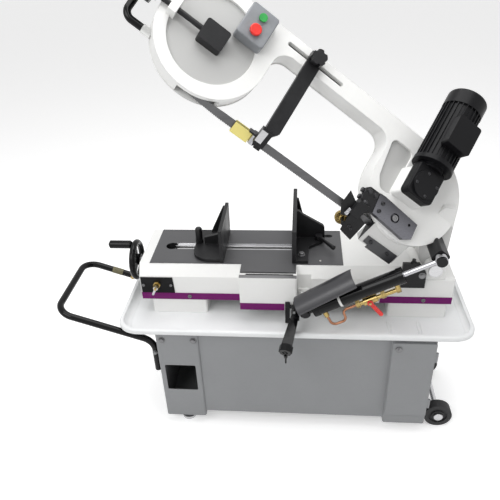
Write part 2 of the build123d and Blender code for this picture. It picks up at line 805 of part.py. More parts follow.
# Movable jaw with its nut hanging through the table slot
moving_x = jaw_x - jaw_gap
flange_reach = 113.0
flange_depth = 206.0
flange_round = 62.0
rib_y = jaw_y + 205.0
jaw_web_y = jaw_y + 118.0
rib_thickness = 14.0
nut_left_x = moving_x - 80.0
nut_drop = 20.0
clamp_x = moving_x - 101.0
clamp_y = jaw_y + 118.0
clamp_stud_d = 14.0
with BuildPart() as movable_jaw:
    with BuildSketch(level(table_z)):
        with BuildLine():
            Polyline(
                (moving_x - jaw_plate, jaw_y),
                (moving_x, jaw_y),
                (moving_x, jaw_y + movable_jaw_depth),
                (moving_x - jaw_plate, jaw_y + movable_jaw_depth),
                close=True,
            )
        make_face()
    extrude(amount=jaw_height)
    with BuildSketch(level(table_z)):
        with BuildLine():
            Polyline(
                (moving_x - jaw_plate / 2, jaw_y + 3.0),
                (moving_x - flange_reach + flange_round, jaw_y + 3.0),
            )
            CenterArc(
                (moving_x - flange_reach + flange_round, jaw_y + 3.0 + flange_round), flange_round, 180, 90
            )
            Polyline(
                (moving_x - flange_reach, jaw_y + 3.0 + flange_round),
                (moving_x - flange_reach, jaw_y + flange_depth),
                (moving_x - jaw_plate / 2, jaw_y + flange_depth),
                (moving_x - jaw_plate / 2, jaw_y + 3.0),
            )
        make_face()
    extrude(amount=jaw_foot)
    with BuildSketch(facing_front(rib_y)):
        with BuildLine():
            Polyline(
                (moving_x - jaw_plate / 2, table_z + jaw_height - 8.0),
                (moving_x - jaw_plate - 8.0, table_z + jaw_height - 8.0),
                (moving_x - flange_reach + 45.0, table_z + jaw_foot),
                (moving_x - flange_reach + 45.0, table_z + jaw_foot / 2),
                (moving_x - jaw_plate / 2, table_z + jaw_foot / 2),
                close=True,
            )
        make_face()
    extrude(amount=rib_thickness)
    with BuildSketch(facing_front(jaw_web_y)):
        with BuildLine():
            Polyline(
                (moving_x - jaw_plate / 2, table_z + 58.0),
                (moving_x - flange_reach + 33.0, table_z + 38.0),
                (moving_x - flange_reach + 33.0, table_z + jaw_foot / 2),
                (moving_x - jaw_plate / 2, table_z + jaw_foot / 2),
                close=True,
            )
        make_face()
    extrude(amount=rib_thickness)
    with BuildSketch(facing_right(nut_left_x)):
        with Locations((screw_line_y, (table_z + jaw_foot / 2 + screw_z - nut_drop) / 2)):
            Rectangle(nut_width, table_z + jaw_foot / 2 - screw_z + nut_drop)
    extrude(amount=nut_length)
    with BuildSketch(facing_right(nut_left_x)):
        with Locations((screw_line_y, screw_z - nut_drop / 2 + 3.0)):
            Rectangle(2 * nut_drop, 1.5 * nut_drop + 6.0)
    extrude(amount=nut_length)
    with BuildSketch(facing_right(nut_left_x)):
        with Locations((screw_line_y, screw_z)):
            Circle(screw_d / 2 + run_gap)
    extrude(amount=nut_length, mode=Mode.SUBTRACT)
    with BuildSketch(level(table_z + jaw_foot - 8.0)):
        with Locations((clamp_x, clamp_y)):
            Circle(clamp_stud_d / 2 + run_gap)
    extrude(amount=8.0, mode=Mode.SUBTRACT)
movable_jaw.part.label = "movable_jaw"
export_step(movable_jaw.part, "parts/movable_jaw.step")

# Upright clamp lever on the movable jaw's foot
clamp_height = 58.0
clamp_d = 24.0
with BuildPart() as jaw_clamp:
    with BuildSketch(level(table_z + jaw_foot - 8.0)):
        with Locations((clamp_x, clamp_y)):
            Circle(clamp_stud_d / 2)
    extrude(amount=8.0 + seat_gap)
    with BuildSketch(level(table_z + jaw_foot + seat_gap)):
        with Locations((clamp_x, clamp_y)):
            Circle(clamp_d / 2 + 2.0)
    extrude(amount=12.0)
    with BuildSketch(level(table_z + jaw_foot + seat_gap + 12.0)):
        with Locations((clamp_x, clamp_y)):
            Circle(clamp_d / 2 - 1.5)
    extrude(amount=clamp_height - 12.0)
    fillet(edges().sort_by(Axis.Z)[-1], 6.0)
    with BuildSketch(level(table_z + jaw_foot + seat_gap + 2.0)):
        with Locations((clamp_x, clamp_y + 20.0)):
            SlotOverall(40.0, 9.0, rotation=90)
    extrude(amount=8.0)
jaw_clamp.part.label = "jaw_clamp"
export_step(jaw_clamp.part, "parts/jaw_clamp.step")

# Fixed jaw: long plate on a swivelling foot, held by two clamp levers
fixed_plate = 14.0
foot_reach = 115.0
gusset_y = jaw_y + 172.0
gusset_rise = 102.0
gusset_end = 60.0
rear_clamp_x = jaw_x + 90.0
rear_clamp_y = jaw_y + 186.5
front_clamp_x = jaw_x + 93.0
front_clamp_y = jaw_y + 142.0
with BuildPart() as fixed_jaw:
    with BuildSketch(level(table_z)):
        with Locations((jaw_x + fixed_plate / 2, jaw_y + fixed_jaw_depth / 2)):
            Rectangle(fixed_plate, fixed_jaw_depth)
    extrude(amount=jaw_height)
    with BuildSketch(level(table_z)):
        with BuildLine():
            Polyline(
                (jaw_x + fixed_plate / 2, jaw_y),
                (jaw_x + 54.0, jaw_y),
                (jaw_x + 57.0, jaw_y + 94.0),
                (jaw_x + foot_reach - 9.0, jaw_y + 134.0),
                (jaw_x + foot_reach, jaw_y + 150.0),
                (jaw_x + foot_reach, jaw_y + 192.0),
                (jaw_x + 70.0, jaw_y + 206.0),
                (jaw_x + 34.0, jaw_y + fixed_jaw_depth),
                (jaw_x + fixed_plate / 2, jaw_y + fixed_jaw_depth),
                close=True,
            )
        make_face()
    extrude(amount=jaw_foot)
    with BuildSketch(facing_front(gusset_y)):
        with BuildLine():
            Polyline(
                (jaw_x + fixed_plate / 2, table_z + jaw_foot / 2),
                (jaw_x + fixed_plate / 2, table_z + jaw_height - 6.0),
                (jaw_x + fixed_plate + 8.0, table_z + jaw_height - 6.0),
                (jaw_x + 38.0, table_z + gusset_rise),
                (jaw_x + foot_reach - 8.0, table_z + gusset_end),
                (jaw_x + foot_reach - 2.0, table_z + gusset_end - 8.0),
                (jaw_x + foot_reach, table_z + jaw_foot / 2),
                close=True,
            )
        make_face()
    extrude(amount=rib_thickness)
    with BuildSketch(facing_front(jaw_y + 262.0)):
        with BuildLine():
            Polyline(
                (jaw_x + fixed_plate / 2, table_z + jaw_foot / 2),
                (jaw_x + fixed_plate / 2, table_z + jaw_height - 4.0),
                (jaw_x + fixed_plate + 6.0, table_z + jaw_height - 4.0),
                (jaw_x + 46.0, table_z + jaw_foot),
                (jaw_x + 46.0, table_z + jaw_foot / 2),
                close=True,
            )
        make_face()
    extrude(amount=rib_thickness)
    with BuildSketch(level(table_z)):
        with Locations((swivel_x, swivel_y)):
            Circle(swivel_d / 2)
    extrude(amount=-(swivel_depth - 1.0))
    with BuildSketch(level(table_z + jaw_foot - 8.0)):
        with Locations((rear_clamp_x, rear_clamp_y), (front_clamp_x, front_clamp_y)):
            Circle(clamp_stud_d / 2 + run_gap)
    extrude(amount=8.0, mode=Mode.SUBTRACT)
fixed_jaw.part.label = "fixed_jaw"
export_step(fixed_jaw.part, "parts/fixed_jaw.step")

# Two hand levers that clamp the swivel foot
swivel_hub_d = 26.0
swivel_hub_h = 18.0
swivel_arm = 46.0
swivel_arm_d = 11.0
swivel_arm_rise = 14.0
rear_arm_turn = 100.0
with BuildPart() as swivel_clamp_rear:
    with BuildSketch(level(table_z + jaw_foot - 8.0)):
        with Locations((rear_clamp_x, rear_clamp_y)):
            Circle(clamp_stud_d / 2)
    extrude(amount=8.0 + seat_gap)
    with BuildSketch(level(table_z + jaw_foot + seat_gap)):
        with Locations((rear_clamp_x, rear_clamp_y)):
            Circle(swivel_hub_d / 2)
    extrude(amount=swivel_hub_h)
    with BuildSketch(
        Plane(
            origin=(rear_clamp_x, rear_clamp_y, table_z + jaw_foot + swivel_hub_h - swivel_arm_d / 2),
            z_dir=(
                cos(radians(swivel_arm_rise)) * cos(radians(rear_arm_turn)),
                cos(radians(swivel_arm_rise)) * sin(radians(rear_arm_turn)),
                sin(radians(swivel_arm_rise)),
            ),
        )
    ):
        Circle(swivel_arm_d / 2)
    extrude(amount=swivel_arm)
    fillet(edges().sort_by(Axis.Y)[-1], swivel_arm_d / 2 - 1.0)
swivel_clamp_rear.part.label = "swivel_clamp_rear"
export_step(swivel_clamp_rear.part, "parts/swivel_clamp_rear.step")

front_arm_turn = -58.0
front_arm_rise = 1.0
front_arm = 98.0
with BuildPart() as swivel_clamp_front:
    with BuildSketch(level(table_z + jaw_foot - 8.0)):
        with Locations((front_clamp_x, front_clamp_y)):
            Circle(clamp_stud_d / 2)
    extrude(amount=8.0 + seat_gap)
    with BuildSketch(level(table_z + jaw_foot + seat_gap)):
        with Locations((front_clamp_x, front_clamp_y)):
            Circle(swivel_hub_d / 2)
    extrude(amount=swivel_hub_h)
    with BuildSketch(
        Plane(
            origin=(front_clamp_x, front_clamp_y, table_z + jaw_foot + swivel_hub_h - swivel_arm_d / 2),
            z_dir=(
                cos(radians(front_arm_rise)) * cos(radians(front_arm_turn)),
                cos(radians(front_arm_rise)) * sin(radians(front_arm_turn)),
                sin(radians(front_arm_rise)),
            ),
        )
    ):
        Circle(swivel_arm_d / 2)
    extrude(amount=front_arm)
    fillet(edges().sort_by(Axis.Y)[0], swivel_arm_d / 2 - 1.0)
swivel_clamp_front.part.label = "swivel_clamp_front"
export_step(swivel_clamp_front.part, "parts/swivel_clamp_front.step")

# Tongue with a pin under the block, a strap beside it, and the forked hand lever on the pin
pin_y = jaw_y - 98.0
pin_z = table_z - 112.0
tongue_x = jaw_x + 5.5
tongue_plate = 7.0
tongue_r = 14.0
fork_pin_d = 10.0
strap_x = jaw_x - 13.5
strap_width = 16.0
strap_plate = 6.0
strap_top = table_z - 100.0
strap_low = table_z - 188.0
left_prong_x = jaw_x
left_prong = 5.0
right_prong_x = jaw_x + 13.0
right_prong = 14.0
with BuildPart() as lever_fork:
    with BuildSketch(facing_right(tongue_x)):
        with BuildLine():
            Polyline(
                (pin_y, pin_z - tongue_r),
                (block_front_y, pin_z - tongue_r - 5.0),
                (block_front_y, pin_z + tongue_r),
                (pin_y, pin_z + tongue_r),
            )
            ThreePointArc(
                (pin_y, pin_z + tongue_r), (pin_y - tongue_r, pin_z), (pin_y, pin_z - tongue_r)
            )
        make_face()
    extrude(amount=tongue_plate)
    with BuildSketch(facing_right(left_prong_x - 1.0)):
        with Locations((pin_y, pin_z)):
            Circle(fork_pin_d / 2)
    extrude(amount=right_prong_x + right_prong - left_prong_x + 2.0)
    with BuildSketch(facing_front(block_front_y)):
        with Locations((strap_x, (strap_top + strap_low) / 2)):
            RectangleRounded(strap_width, strap_top - strap_low, 2.0)
        with Locations((strap_x + 15.0, pin_z - 6.0)):
            Rectangle(30.0, 12.0)
    extrude(amount=strap_plate)
lever_fork.part.label = "lever_fork"
export_step(lever_fork.part, "parts/lever_fork.step")

lever_start = Vector(jaw_x + 13.0, pin_y, pin_z)
lever_end = Vector(jaw_x - 17.0, jaw_y - 259.77, table_z - 170.0)
lever_line = lever_end - lever_start
lever_length = lever_line.length
lever_dir = lever_line.normalized()
lever_side = (Vector(1, 0, 0) - lever_dir * lever_dir.X).normalized()
lever_up = lever_side.cross(lever_dir)
lever_thickness = 14.0
lever_root = 30.0
lever_knob_d = 44.0
lever_knob = 24.0
prong_reach = 44.0
prong_end_y = pin_y + lever_dir.Y * prong_reach
prong_end_z = pin_z + lever_dir.Z * prong_reach
rod_top = lever_end - lever_dir * 10.0
with BuildPart() as clamp_lever:
    for x, thick in ((left_prong_x, left_prong), (right_prong_x, right_prong)):
        with BuildSketch(facing_right(x)):
            with BuildLine():
                prong_mid = Line((pin_y, pin_z), (prong_end_y, prong_end_z))
            with Locations(prong_mid @ 0.5):
                SlotCenterToCenter(
                    prong_mid.length, 16.0,
                    rotation=degrees(atan2(prong_end_z - pin_z, prong_end_y - pin_y)),
                )
            with Locations((pin_y, pin_z)):
                Circle(fork_pin_d / 2 + run_gap, mode=Mode.SUBTRACT)
        extrude(amount=thick)
    with BuildSketch(Plane(origin=lever_start, x_dir=lever_dir, z_dir=lever_up)):
        with BuildLine():
            Polyline(
                (lever_root, 6.5),
                (lever_root, -18.5),
                (lever_length - lever_knob + 2.0, -lever_knob_d / 2 + 4.0),
                (lever_length - lever_knob + 2.0, lever_knob_d / 2 - 4.0),
                close=True,
            )
        make_face()
    extrude(amount=lever_thickness / 2, both=True)
    with BuildSketch(Plane(origin=lever_start + lever_dir * (lever_length - lever_knob), x_dir=lever_side, z_dir=lever_dir)):
        RegularPolygon(lever_knob_d / 2, 8)
    extrude(amount=lever_knob)
    fillet(edges().sort_by(lambda e: e.center().dot(lever_dir))[-8:], 2.5)
    with BuildSketch(Plane(origin=lever_end - lever_dir * 3.0, x_dir=lever_side, z_dir=lever_dir)):
        Circle(9.0)
        Circle(4.5, mode=Mode.SUBTRACT)
    extrude(amount=3.0, mode=Mode.SUBTRACT)
    with BuildSketch(Plane(origin=rod_top, z_dir=(0, 0, -1))):
        Circle(2.8)
    extrude(amount=54.0)
    with BuildSketch(Plane(origin=rod_top - Vector(0, 0, 20.0), z_dir=(0, 0, -1))):
        Circle(7.0)
    extrude(amount=11.0, taper=8)
clamp_lever.part.label = "clamp_lever"
export_step(clamp_lever.part, "parts/clamp_lever.step")

# Hydraulic down-feed: the cylinder hangs on a base bracket, its rod eye on the bow; the eye sits where
# raised and lowered positions both lie on the cylinder's axis
cyl_dir = Vector(cos(radians(cylinder_pitch)), 0, sin(radians(cylinder_pitch)))
cyl_up = Vector(-sin(radians(cylinder_pitch)), 0, cos(radians(cylinder_pitch)))
cyl_y = jaw_y - cylinder_front
cyl_foot = Vector(jaw_x + cylinder_foot_x, cyl_y, table_z - cylinder_foot_drop)
eye_swing = (cyl_foot - Vector(pivot_x, cyl_y, pivot_z)).dot(cyl_up) / cos(radians(bow_angle / 2))
eye_turn = radians(90 + cylinder_pitch - bow_angle / 2)
rod_eye = Vector(pivot_x + eye_swing * cos(eye_turn), cyl_y, pivot_z + eye_swing * sin(eye_turn))
rod_eye_s = (rod_eye - cyl_foot).dot(cyl_dir)


def cyl_front(y):
    return Plane(origin=Vector(cyl_foot.X, y, cyl_foot.Z), x_dir=cyl_dir, z_dir=(0, -1, 0))


def cyl_cross(s):
    return Plane(origin=cyl_foot + cyl_dir * s, x_dir=(0, 1, 0), z_dir=cyl_dir)


# Bracket on the base with the cylinder's foot pin and a rest for the chip guard
bracket_half = 16.0
bracket_half_h = 11.0
bracket_back_y = front_y + notch_depth
bracket_front_y = cyl_y + eye_width / 2 + 1.0
guard_rest_x = jaw_x + 53.0
guard_rest = 6.0
guard_rest_z = table_z - 34.9
collar_gap = 1.0
with BuildPart() as cylinder_bracket:
    with BuildSketch(facing_front(bracket_back_y)):
        with Locations((cyl_foot.X, cyl_foot.Z)):
            Rectangle(2 * bracket_half, 2 * bracket_half_h)
    extrude(amount=bracket_back_y - bracket_front_y)
    with BuildSketch(facing_front(bracket_back_y)):
        with Locations((cyl_foot.X - 4.0, cyl_foot.Z)):
            Rectangle(2 * bracket_half + 6.0, 4 * bracket_half_h)
    extrude(amount=10.0)
    with BuildSketch(facing_front(bracket_front_y)):
        with Locations((cyl_foot.X, cyl_foot.Z)):
            Circle(pin_d / 2)
    extrude(amount=eye_width + 2 * collar_gap + 5.0)
    with BuildSketch(facing_front(cyl_y - eye_width / 2 - collar_gap)):
        with Locations((cyl_foot.X, cyl_foot.Z)):
            Circle(pin_d / 2 + 5.0)
    extrude(amount=5.0)
    with BuildSketch(level(cyl_foot.Z)):
        with Locations((guard_rest_x + guard_rest / 2, bracket_front_y + 1.5 * guard_rest)):
            Rectangle(guard_rest, guard_rest)
    extrude(amount=guard_rest_z - cyl_foot.Z)
cylinder_bracket.part.label = "cylinder_bracket"
export_step(cylinder_bracket.part, "parts/cylinder_bracket.step")

# Arched chip guard over the cylinder's foot
guard_start = Vector(jaw_x + 7.5, cyl_y, table_z - 55.0)
guard_stop = Vector(jaw_x + 184.3, cyl_y, table_z + 59.6)
guard_run = guard_stop - guard_start
guard_r = 50.0
guard_sheet = 2.0
guard_rear_edge = 55.0
guard_front_edge = 158.0
guard_span = guard_front_edge - guard_rear_edge
with BuildPart() as cylinder_guard:
    with BuildSketch(Plane(origin=guard_start, x_dir=(0, 1, 0), z_dir=guard_run.normalized())):
        with BuildLine():
            outer = CenterArc((0, -guard_r), guard_r, guard_rear_edge, guard_span)
            inner = CenterArc((0, -guard_r), guard_r - guard_sheet, guard_rear_edge, guard_span)
            Line(outer @ 0, inner @ 0)
            Line(outer @ 1, inner @ 1)
        make_face()
        with Locations(outer @ 1):
            Circle(guard_sheet + 0.8)
    extrude(amount=guard_run.length)
cylinder_guard.part.label = "cylinder_guard"
export_step(cylinder_guard.part, "parts/cylinder_guard.step")

# Cylinder: foot eye, neck, tube with two caps, bored for the piston
cap_d = tube_d + 4.0
cap_length = 18.0
with BuildPart() as hydraulic_cylinder:
    with BuildSketch(cyl_front(cyl_y + eye_width / 2)):
        Circle(eye_d / 2)
    extrude(amount=eye_width)
    with BuildSketch(cyl_cross(eye_d / 4)):
        Circle(eye_width / 2)
    extrude(amount=tube_start - eye_d / 4)
    with BuildSketch(cyl_cross(tube_start)):
        Circle(tube_d / 2)
    extrude(amount=tube_end - tube_start)
    with BuildSketch(cyl_cross(tube_start)):
        Circle(cap_d / 2)
    extrude(amount=cap_length)
    with BuildSketch(cyl_cross(tube_end - cap_length)):
        Circle(cap_d / 2)
    extrude(amount=cap_length)
    with BuildSketch(cyl_front(cyl_y + eye_width / 2)):
        Circle(pin_d / 2 + run_gap)
    extrude(amount=eye_width, mode=Mode.SUBTRACT)
    with BuildSketch(cyl_cross(tube_start + cap_length)):
        Circle(tube_bore_d / 2)
    extrude(amount=tube_end - tube_start - 2 * cap_length, mode=Mode.SUBTRACT)
    with BuildSketch(cyl_cross(tube_end - cap_length)):
        Circle(rod_d / 2 + run_gap)
    extrude(amount=cap_length, mode=Mode.SUBTRACT)
hydraulic_cylinder.part.label = "hydraulic_cylinder"
export_step(hydraulic_cylinder.part, "parts/hydraulic_cylinder.step")

# Piston rod: piston inside the tube, open eye at the bow end
piston_length = 20.0
piston_s = tube_end - cap_length - 70.0
rod_eye_r = pin_d / 2 + rod_eye_play
with BuildPart() as piston_rod:
    with BuildSketch(cyl_cross(piston_s)):
        Circle(tube_bore_d / 2 - run_gap)
    extrude(amount=piston_length)
    with BuildSketch(cyl_cross(piston_s)):
        Circle(rod_d / 2)
    extrude(amount=rod_eye_s - piston_s - rod_eye_r - 2.0)
    with BuildSketch(cyl_front(cyl_y + eye_width / 2)):
        with Locations((rod_eye_s, 0)):
            Circle(rod_eye_r + 8.0)
    extrude(amount=eye_width)
    with BuildSketch(cyl_front(cyl_y + eye_width / 2)):
        with Locations((rod_eye_s, 0)):
            Circle(rod_eye_r)
    extrude(amount=eye_width, mode=Mode.SUBTRACT)
piston_rod.part.label = "piston_rod"
export_step(piston_rod.part, "parts/piston_rod.step")

# Brass feed valve slung under the tube, with a pipe fitting at the cylinder's foot end
valve_drop = 45.0
valve_start = 162.0
valve_stop = 312.0
valve_port_s = valve_stop - 6.0
valve_body_s = 188.0
valve_body_length = 46.0
valve_bar_d = 15.0
valve_body_d = 27.0
lever_s = 208.0
pipe_d = 9.0
fitting_s = 58.0
fitting_d = 17.0
valve_spindle_d = 8.0
with BuildPart() as feed_valve:
    with BuildSketch(cyl_cross(valve_start)):
        with Locations((0, -valve_drop)):
            Circle(valve_bar_d / 2)
    extrude(amount=valve_stop - valve_start)
    with BuildSketch(cyl_cross(valve_body_s)):
        with Locations((0, -valve_drop)):
            Circle(valve_body_d / 2)
    extrude(amount=valve_body_length)
    for s in (valve_start, valve_body_s + valve_body_length + 14.0, valve_stop - 14.0):
        with BuildSketch(cyl_cross(s)):
            with Locations((0, -valve_drop)):
                RegularPolygon(valve_bar_d / 2 + 4.0, 6)
        extrude(amount=14.0)
    with BuildSketch(Plane(origin=cyl_foot + cyl_dir * valve_port_s - cyl_up * valve_drop, z_dir=cyl_up)):
        Circle(valve_bar_d / 2)
    extrude(amount=valve_drop - tube_d / 2 - seat_gap)
    with BuildSketch(cyl_front(cyl_y)):
        with Locations((lever_s, -valve_drop)):
            Circle(valve_spindle_d / 2)
    extrude(amount=valve_body_d / 2 + 9.0)
    with BuildSketch(Plane(origin=cyl_foot + cyl_dir * fitting_s - cyl_up * (cap_d / 2 + 18.0), z_dir=cyl_up)):
        Circle(fitting_d / 2)
        Circle(pipe_d / 2 + run_gap, mode=Mode.SUBTRACT)
    extrude(amount=18.0 + (cap_d - tube_d) / 2 - seat_gap)
feed_valve.part.label = "feed_valve"
export_step(feed_valve.part, "parts/feed_valve.step")

valve_lever_reach = 14.0
valve_lever_length = 56.0
with BuildPart() as valve_lever:
    with BuildSketch(cyl_front(cyl_y - valve_body_d / 2 - seat_gap)):
        with BuildLine():
            lever_mid = Line((lever_s, -valve_drop), (lever_s + valve_lever_reach, -valve_drop - valve_lever_length))
        with Locations(lever_mid @ 0.5):
            SlotCenterToCenter(
                lever_mid.length, 13.0, rotation=degrees(atan2(-valve_lever_length, valve_lever_reach))
            )
        with Locations((lever_s, -valve_drop)):
            Circle(9.5)
            Circle(valve_spindle_d / 2 + run_gap, mode=Mode.SUBTRACT)
    extrude(amount=5.0)
valve_lever.part.label = "valve_lever"
export_step(valve_lever.part, "parts/valve_lever.step")

# Bent copper pipe from the fitting to the valve
pipe_loop = 88.0
pipe_bend = 17.0
pipe_top = tube_d / 2 + 5.0
with BuildPart() as oil_pipe:
    with BuildLine(cyl_front(cyl_y)) as pipe_path:
        FilletPolyline(
            (fitting_s, -pipe_top),
            (fitting_s, -pipe_loop),
            (fitting_s + 50.0, -pipe_loop),
            (fitting_s + 56.0, -valve_drop),
            (valve_start, -valve_drop),
            radius=pipe_bend,
        )
    with BuildSketch(Plane(origin=pipe_path.line @ 0, z_dir=pipe_path.line % 0)):
        Circle(pipe_d / 2)
    sweep(path=pipe_path.line)
oil_pipe.part.label = "oil_pipe"
export_step(oil_pipe.part, "parts/oil_pipe.step")

# Bow stop: a plate on the base front with a set bolt under the bow's rod bracket
stop_left_x = jaw_x + 362.0
stop_right_x = jaw_x + 440.0
stop_thickness = 14.0
stop_low = 62.0
stop_rise = 32.0
stop_bolt_x = jaw_x + 396.0
stop_bolt_d = 12.0
stop_bolt_rise = 15.0
with BuildPart() as bow_stop:
    with BuildSketch(facing_front(front_y)):
        with BuildLine():
            Polyline(
                (stop_left_x, table_z - stop_low),
                (stop_right_x, table_z - stop_low),
                (stop_right_x, table_z - 4.0),
                (stop_right_x - 24.0, table_z + stop_rise),
                (stop_left_x, table_z + stop_rise),
                close=True,
            )
        make_face()
    extrude(amount=stop_thickness)
    with BuildSketch(level(table_z + stop_rise)):
        with Locations((stop_bolt_x, front_y - stop_thickness / 2)):
            RegularPolygon(stop_bolt_d * 0.75, 6)
    extrude(amount=6.0)
    with BuildSketch(level(table_z + stop_rise)):
        with Locations((stop_bolt_x, front_y - stop_thickness / 2)):
            Circle(stop_bolt_d / 2)
    extrude(amount=stop_bolt_rise)
bow_stop.part.label = "bow_stop"
export_step(bow_stop.part, "parts/bow_stop.step")

# Bow pivot shaft
with BuildPart() as pivot_shaft:
    with BuildSketch(facing_front(lug_back_y + lug_width + 6.0)):
        with Locations((pivot_x, pivot_z)):
            Circle(pivot_d / 2)
    extrude(amount=lug_back_y + lug_width + 12.0 - front_y)
    for y in (lug_back_y + lug_width + 8.0, front_y):
        with BuildSketch(facing_front(y)):
            with Locations((pivot_x, pivot_z)):
                Circle(pivot_d / 2 + 7.0)
        extrude(amount=8.0)
pivot_shaft.part.label = "pivot_shaft"
export_step(pivot_shaft.part, "parts/pivot_shaft.step")


# Saw bow: one casting that houses both wheels and the upper run of the blade, open at the back
def bow_outline(plane, grow):
    r = case_r + grow
    idler_x = idler_along + idler_travel
    with BuildSketch(plane) as outline:
        with BuildLine():
            CenterArc((drive_along, blade_r), r, 180, 270)
            Line((drive_along, blade_r + r), (idler_along, blade_r + r))
            CenterArc((idler_along, blade_r), r, 90, 180)
            Line((idler_along, blade_r - r), (idler_x, blade_r - r))
            CenterArc((idler_x, blade_r), r, 270, 90)
            FilletPolyline(
                (idler_x + r, blade_r),
                (idler_x + r, beam_low - grow),
                (drive_along - r, beam_low - grow),
                (drive_along - r, blade_r),
                radius=throat_r - grow,
            )
        make_face()
    return outline.sketch


cover_lap = 2.0
cover_sheet = 2.5
pad_low = 105.0
pad_high = 198.0
exit_half = 22.0
block_back = 19.0
block_ahead = 21.0
block_from = 162.0
block_to = 300.0
block_below = 57.0
block_above = 26.0
block_wall = 3.0
web_length = 97.0
web_reach = 330.0
arm_slot_rise = (beam_low + case_top) / 2
arm_slot_width = 13.0
arm_slot_from = -354.0
arm_slot_to = -150.0
tension_g = 54.0
lug_back = 138.0
tension_lug_from = idler_along - lug_back
tension_lug_to = tension_lug_from + 24.0
tension_screw_d = 16.0
idler_window = 15.0
grip_boss_r = 14.0
grip_boss_m = 78.0
grip_boss_g = -4.0
grip_boss_end = idler_along - case_r - 6.0
drive_hole_d = 30.0
boss_y = boss_back_y - (jaw_y - blade_front)
web_y = boss_front_y - (jaw_y - blade_front)
with BuildPart() as bow_casting:
    extrude(bow_outline(wheel_face(case_back), 0), amount=rim_face - case_back)
    with BuildSketch(wheel_face(case_face)):
        with BuildLine():
            Polyline((73, 256), (92, 130), (113, 95), (158, 95), (158, 256), close=True)
        make_face()
        fillet(vertices(), 20.0)
        with Locations((idler_along, blade_r)):
            Circle(case_r - 35.0)
    extrude(amount=rim_face - case_face, mode=Mode.SUBTRACT)
    with BuildSketch(wheel_face(case_face)):
        with Locations((box_along, (pad_low + pad_high) / 2)):
            RectangleRounded(pad_width + 8.0, pad_high - pad_low + 8.0, 10.0)
    extrude(amount=pad_face - case_face, taper=4)
    with BuildSketch(bow_front(block_back)):
        with Locations(((block_from + block_to) / 2, (block_above - block_below) / 2)):
            Rectangle(block_to - block_from, block_above + block_below)
    extrude(amount=block_back + block_ahead)
    with BuildSketch(bow_front(web_y + web_length)):
        with BuildLine():
            Polyline(
                (web_reach, 60), (web_reach, 165), (web_reach + 35, 185), (pivot_along + 22, pivot_up + 24),
                (pivot_along, pivot_up - boss_r), (pivot_along - 58, pivot_up - 11), close=True,
            )
        make_face()
    extrude(amount=web_length)
    with BuildSketch(bow_front(boss_y)):
        with Locations((pivot_along, pivot_up)):
            Circle(boss_r)
    extrude(amount=boss_length)
    extrude(bow_outline(wheel_face(case_floor), -case_wall), amount=case_back - case_floor - 2.0, mode=Mode.SUBTRACT)
    extrude(bow_outline(wheel_face(case_back), cover_lap + 0.5), amount=-150.0, mode=Mode.SUBTRACT)
    for x, run in ((58.0, 157.0), (idler_along - 10.0, 190.0)):
        with BuildSketch(wheel_cross(x)):
            Rectangle(2 * exit_half, 2 * exit_half)
        extrude(amount=run, mode=Mode.SUBTRACT)
    with BuildSketch(bow_front(block_wall - block_ahead)):
        with Locations(((block_from + block_to) / 2, (block_above - block_below) / 2)):
            Rectangle(block_to - block_from, block_above + block_below)
    extrude(amount=block_wall)
    with BuildSketch(wheel_face(case_floor)):
        with Locations((drive_along, blade_r)):
            Circle(drive_hole_d / 2)
        with Locations((idler_along + idler_travel / 2, blade_r)):
            SlotOverall(idler_travel + 2 * idler_window, 2 * idler_window)
        with Locations(((arm_slot_from + arm_slot_to) / 2, arm_slot_rise)):
            SlotOverall(arm_slot_to - arm_slot_from, arm_slot_width)
    extrude(amount=pad_face - case_floor, mode=Mode.SUBTRACT)
    with BuildSketch(wheel_cross(tension_lug_from)):
        with Locations((-(case_face + tension_g + 22.0) / 2, blade_r)):
            Rectangle(tension_g + 22.0 - case_face, 44.0)
    extrude(amount=tension_lug_to - tension_lug_from)
    with BuildSketch(wheel_cross(tension_lug_from)):
        with Locations((-tension_g, blade_r)):
            Circle(tension_screw_d / 2 + run_gap)
    extrude(amount=tension_lug_to - tension_lug_from, mode=Mode.SUBTRACT)
    with BuildSketch(wheel_cross(grip_boss_end)):
        with Locations((-grip_boss_g, blade_r - grip_boss_m), (-grip_boss_g, blade_r + grip_boss_m)):
            Circle(grip_boss_r)
    extrude(amount=29.0)
    with BuildSketch(bow_front(boss_y)):
        with Locations((pivot_along, pivot_up)):
            Circle(pivot_d / 2 + run_gap)
    extrude(amount=boss_length, mode=Mode.SUBTRACT)
bow_casting.part.label = "bow_casting"
export_step(bow_casting.part, "parts/bow_casting.step")

# Rear cover: one sheet with two shallow domes, hung on knuckles along the top of the bow
cover_face = case_back - seat_gap
cover_back = cover_face - cover_sheet
dome_r = 112.0
dome_depth = 6.0
cover_hinge_m = case_top + cover_lap + 6.0
cover_hinge_g = cover_back + 1.0
cover_knuckle_d = 10.0
cover_knuckle = 60.0
cover_knuckle_at = (-420.0, 20.0)
with BuildPart() as rear_cover:
    extrude(bow_outline(wheel_face(cover_face), cover_lap), amount=-cover_sheet)
    for x in (drive_along, idler_along):
        with BuildSketch(wheel_face(cover_back)):
            with Locations((x, blade_r)):
                Circle(dome_r)
        extrude(amount=-dome_depth, taper=30)
    for x in cover_knuckle_at:
        with BuildSketch(wheel_cross(x)):
            with Locations((-cover_hinge_g, cover_hinge_m)):
                Circle(cover_knuckle_d / 2)
            with Locations((-(cover_face + cover_back) / 2, cover_hinge_m - cover_knuckle_d / 2 - 2.0)):
                Rectangle(cover_sheet, cover_knuckle_d)
        extrude(amount=cover_knuckle)
rear_cover.part.label = "rear_cover"
export_step(rear_cover.part, "parts/rear_cover.step")

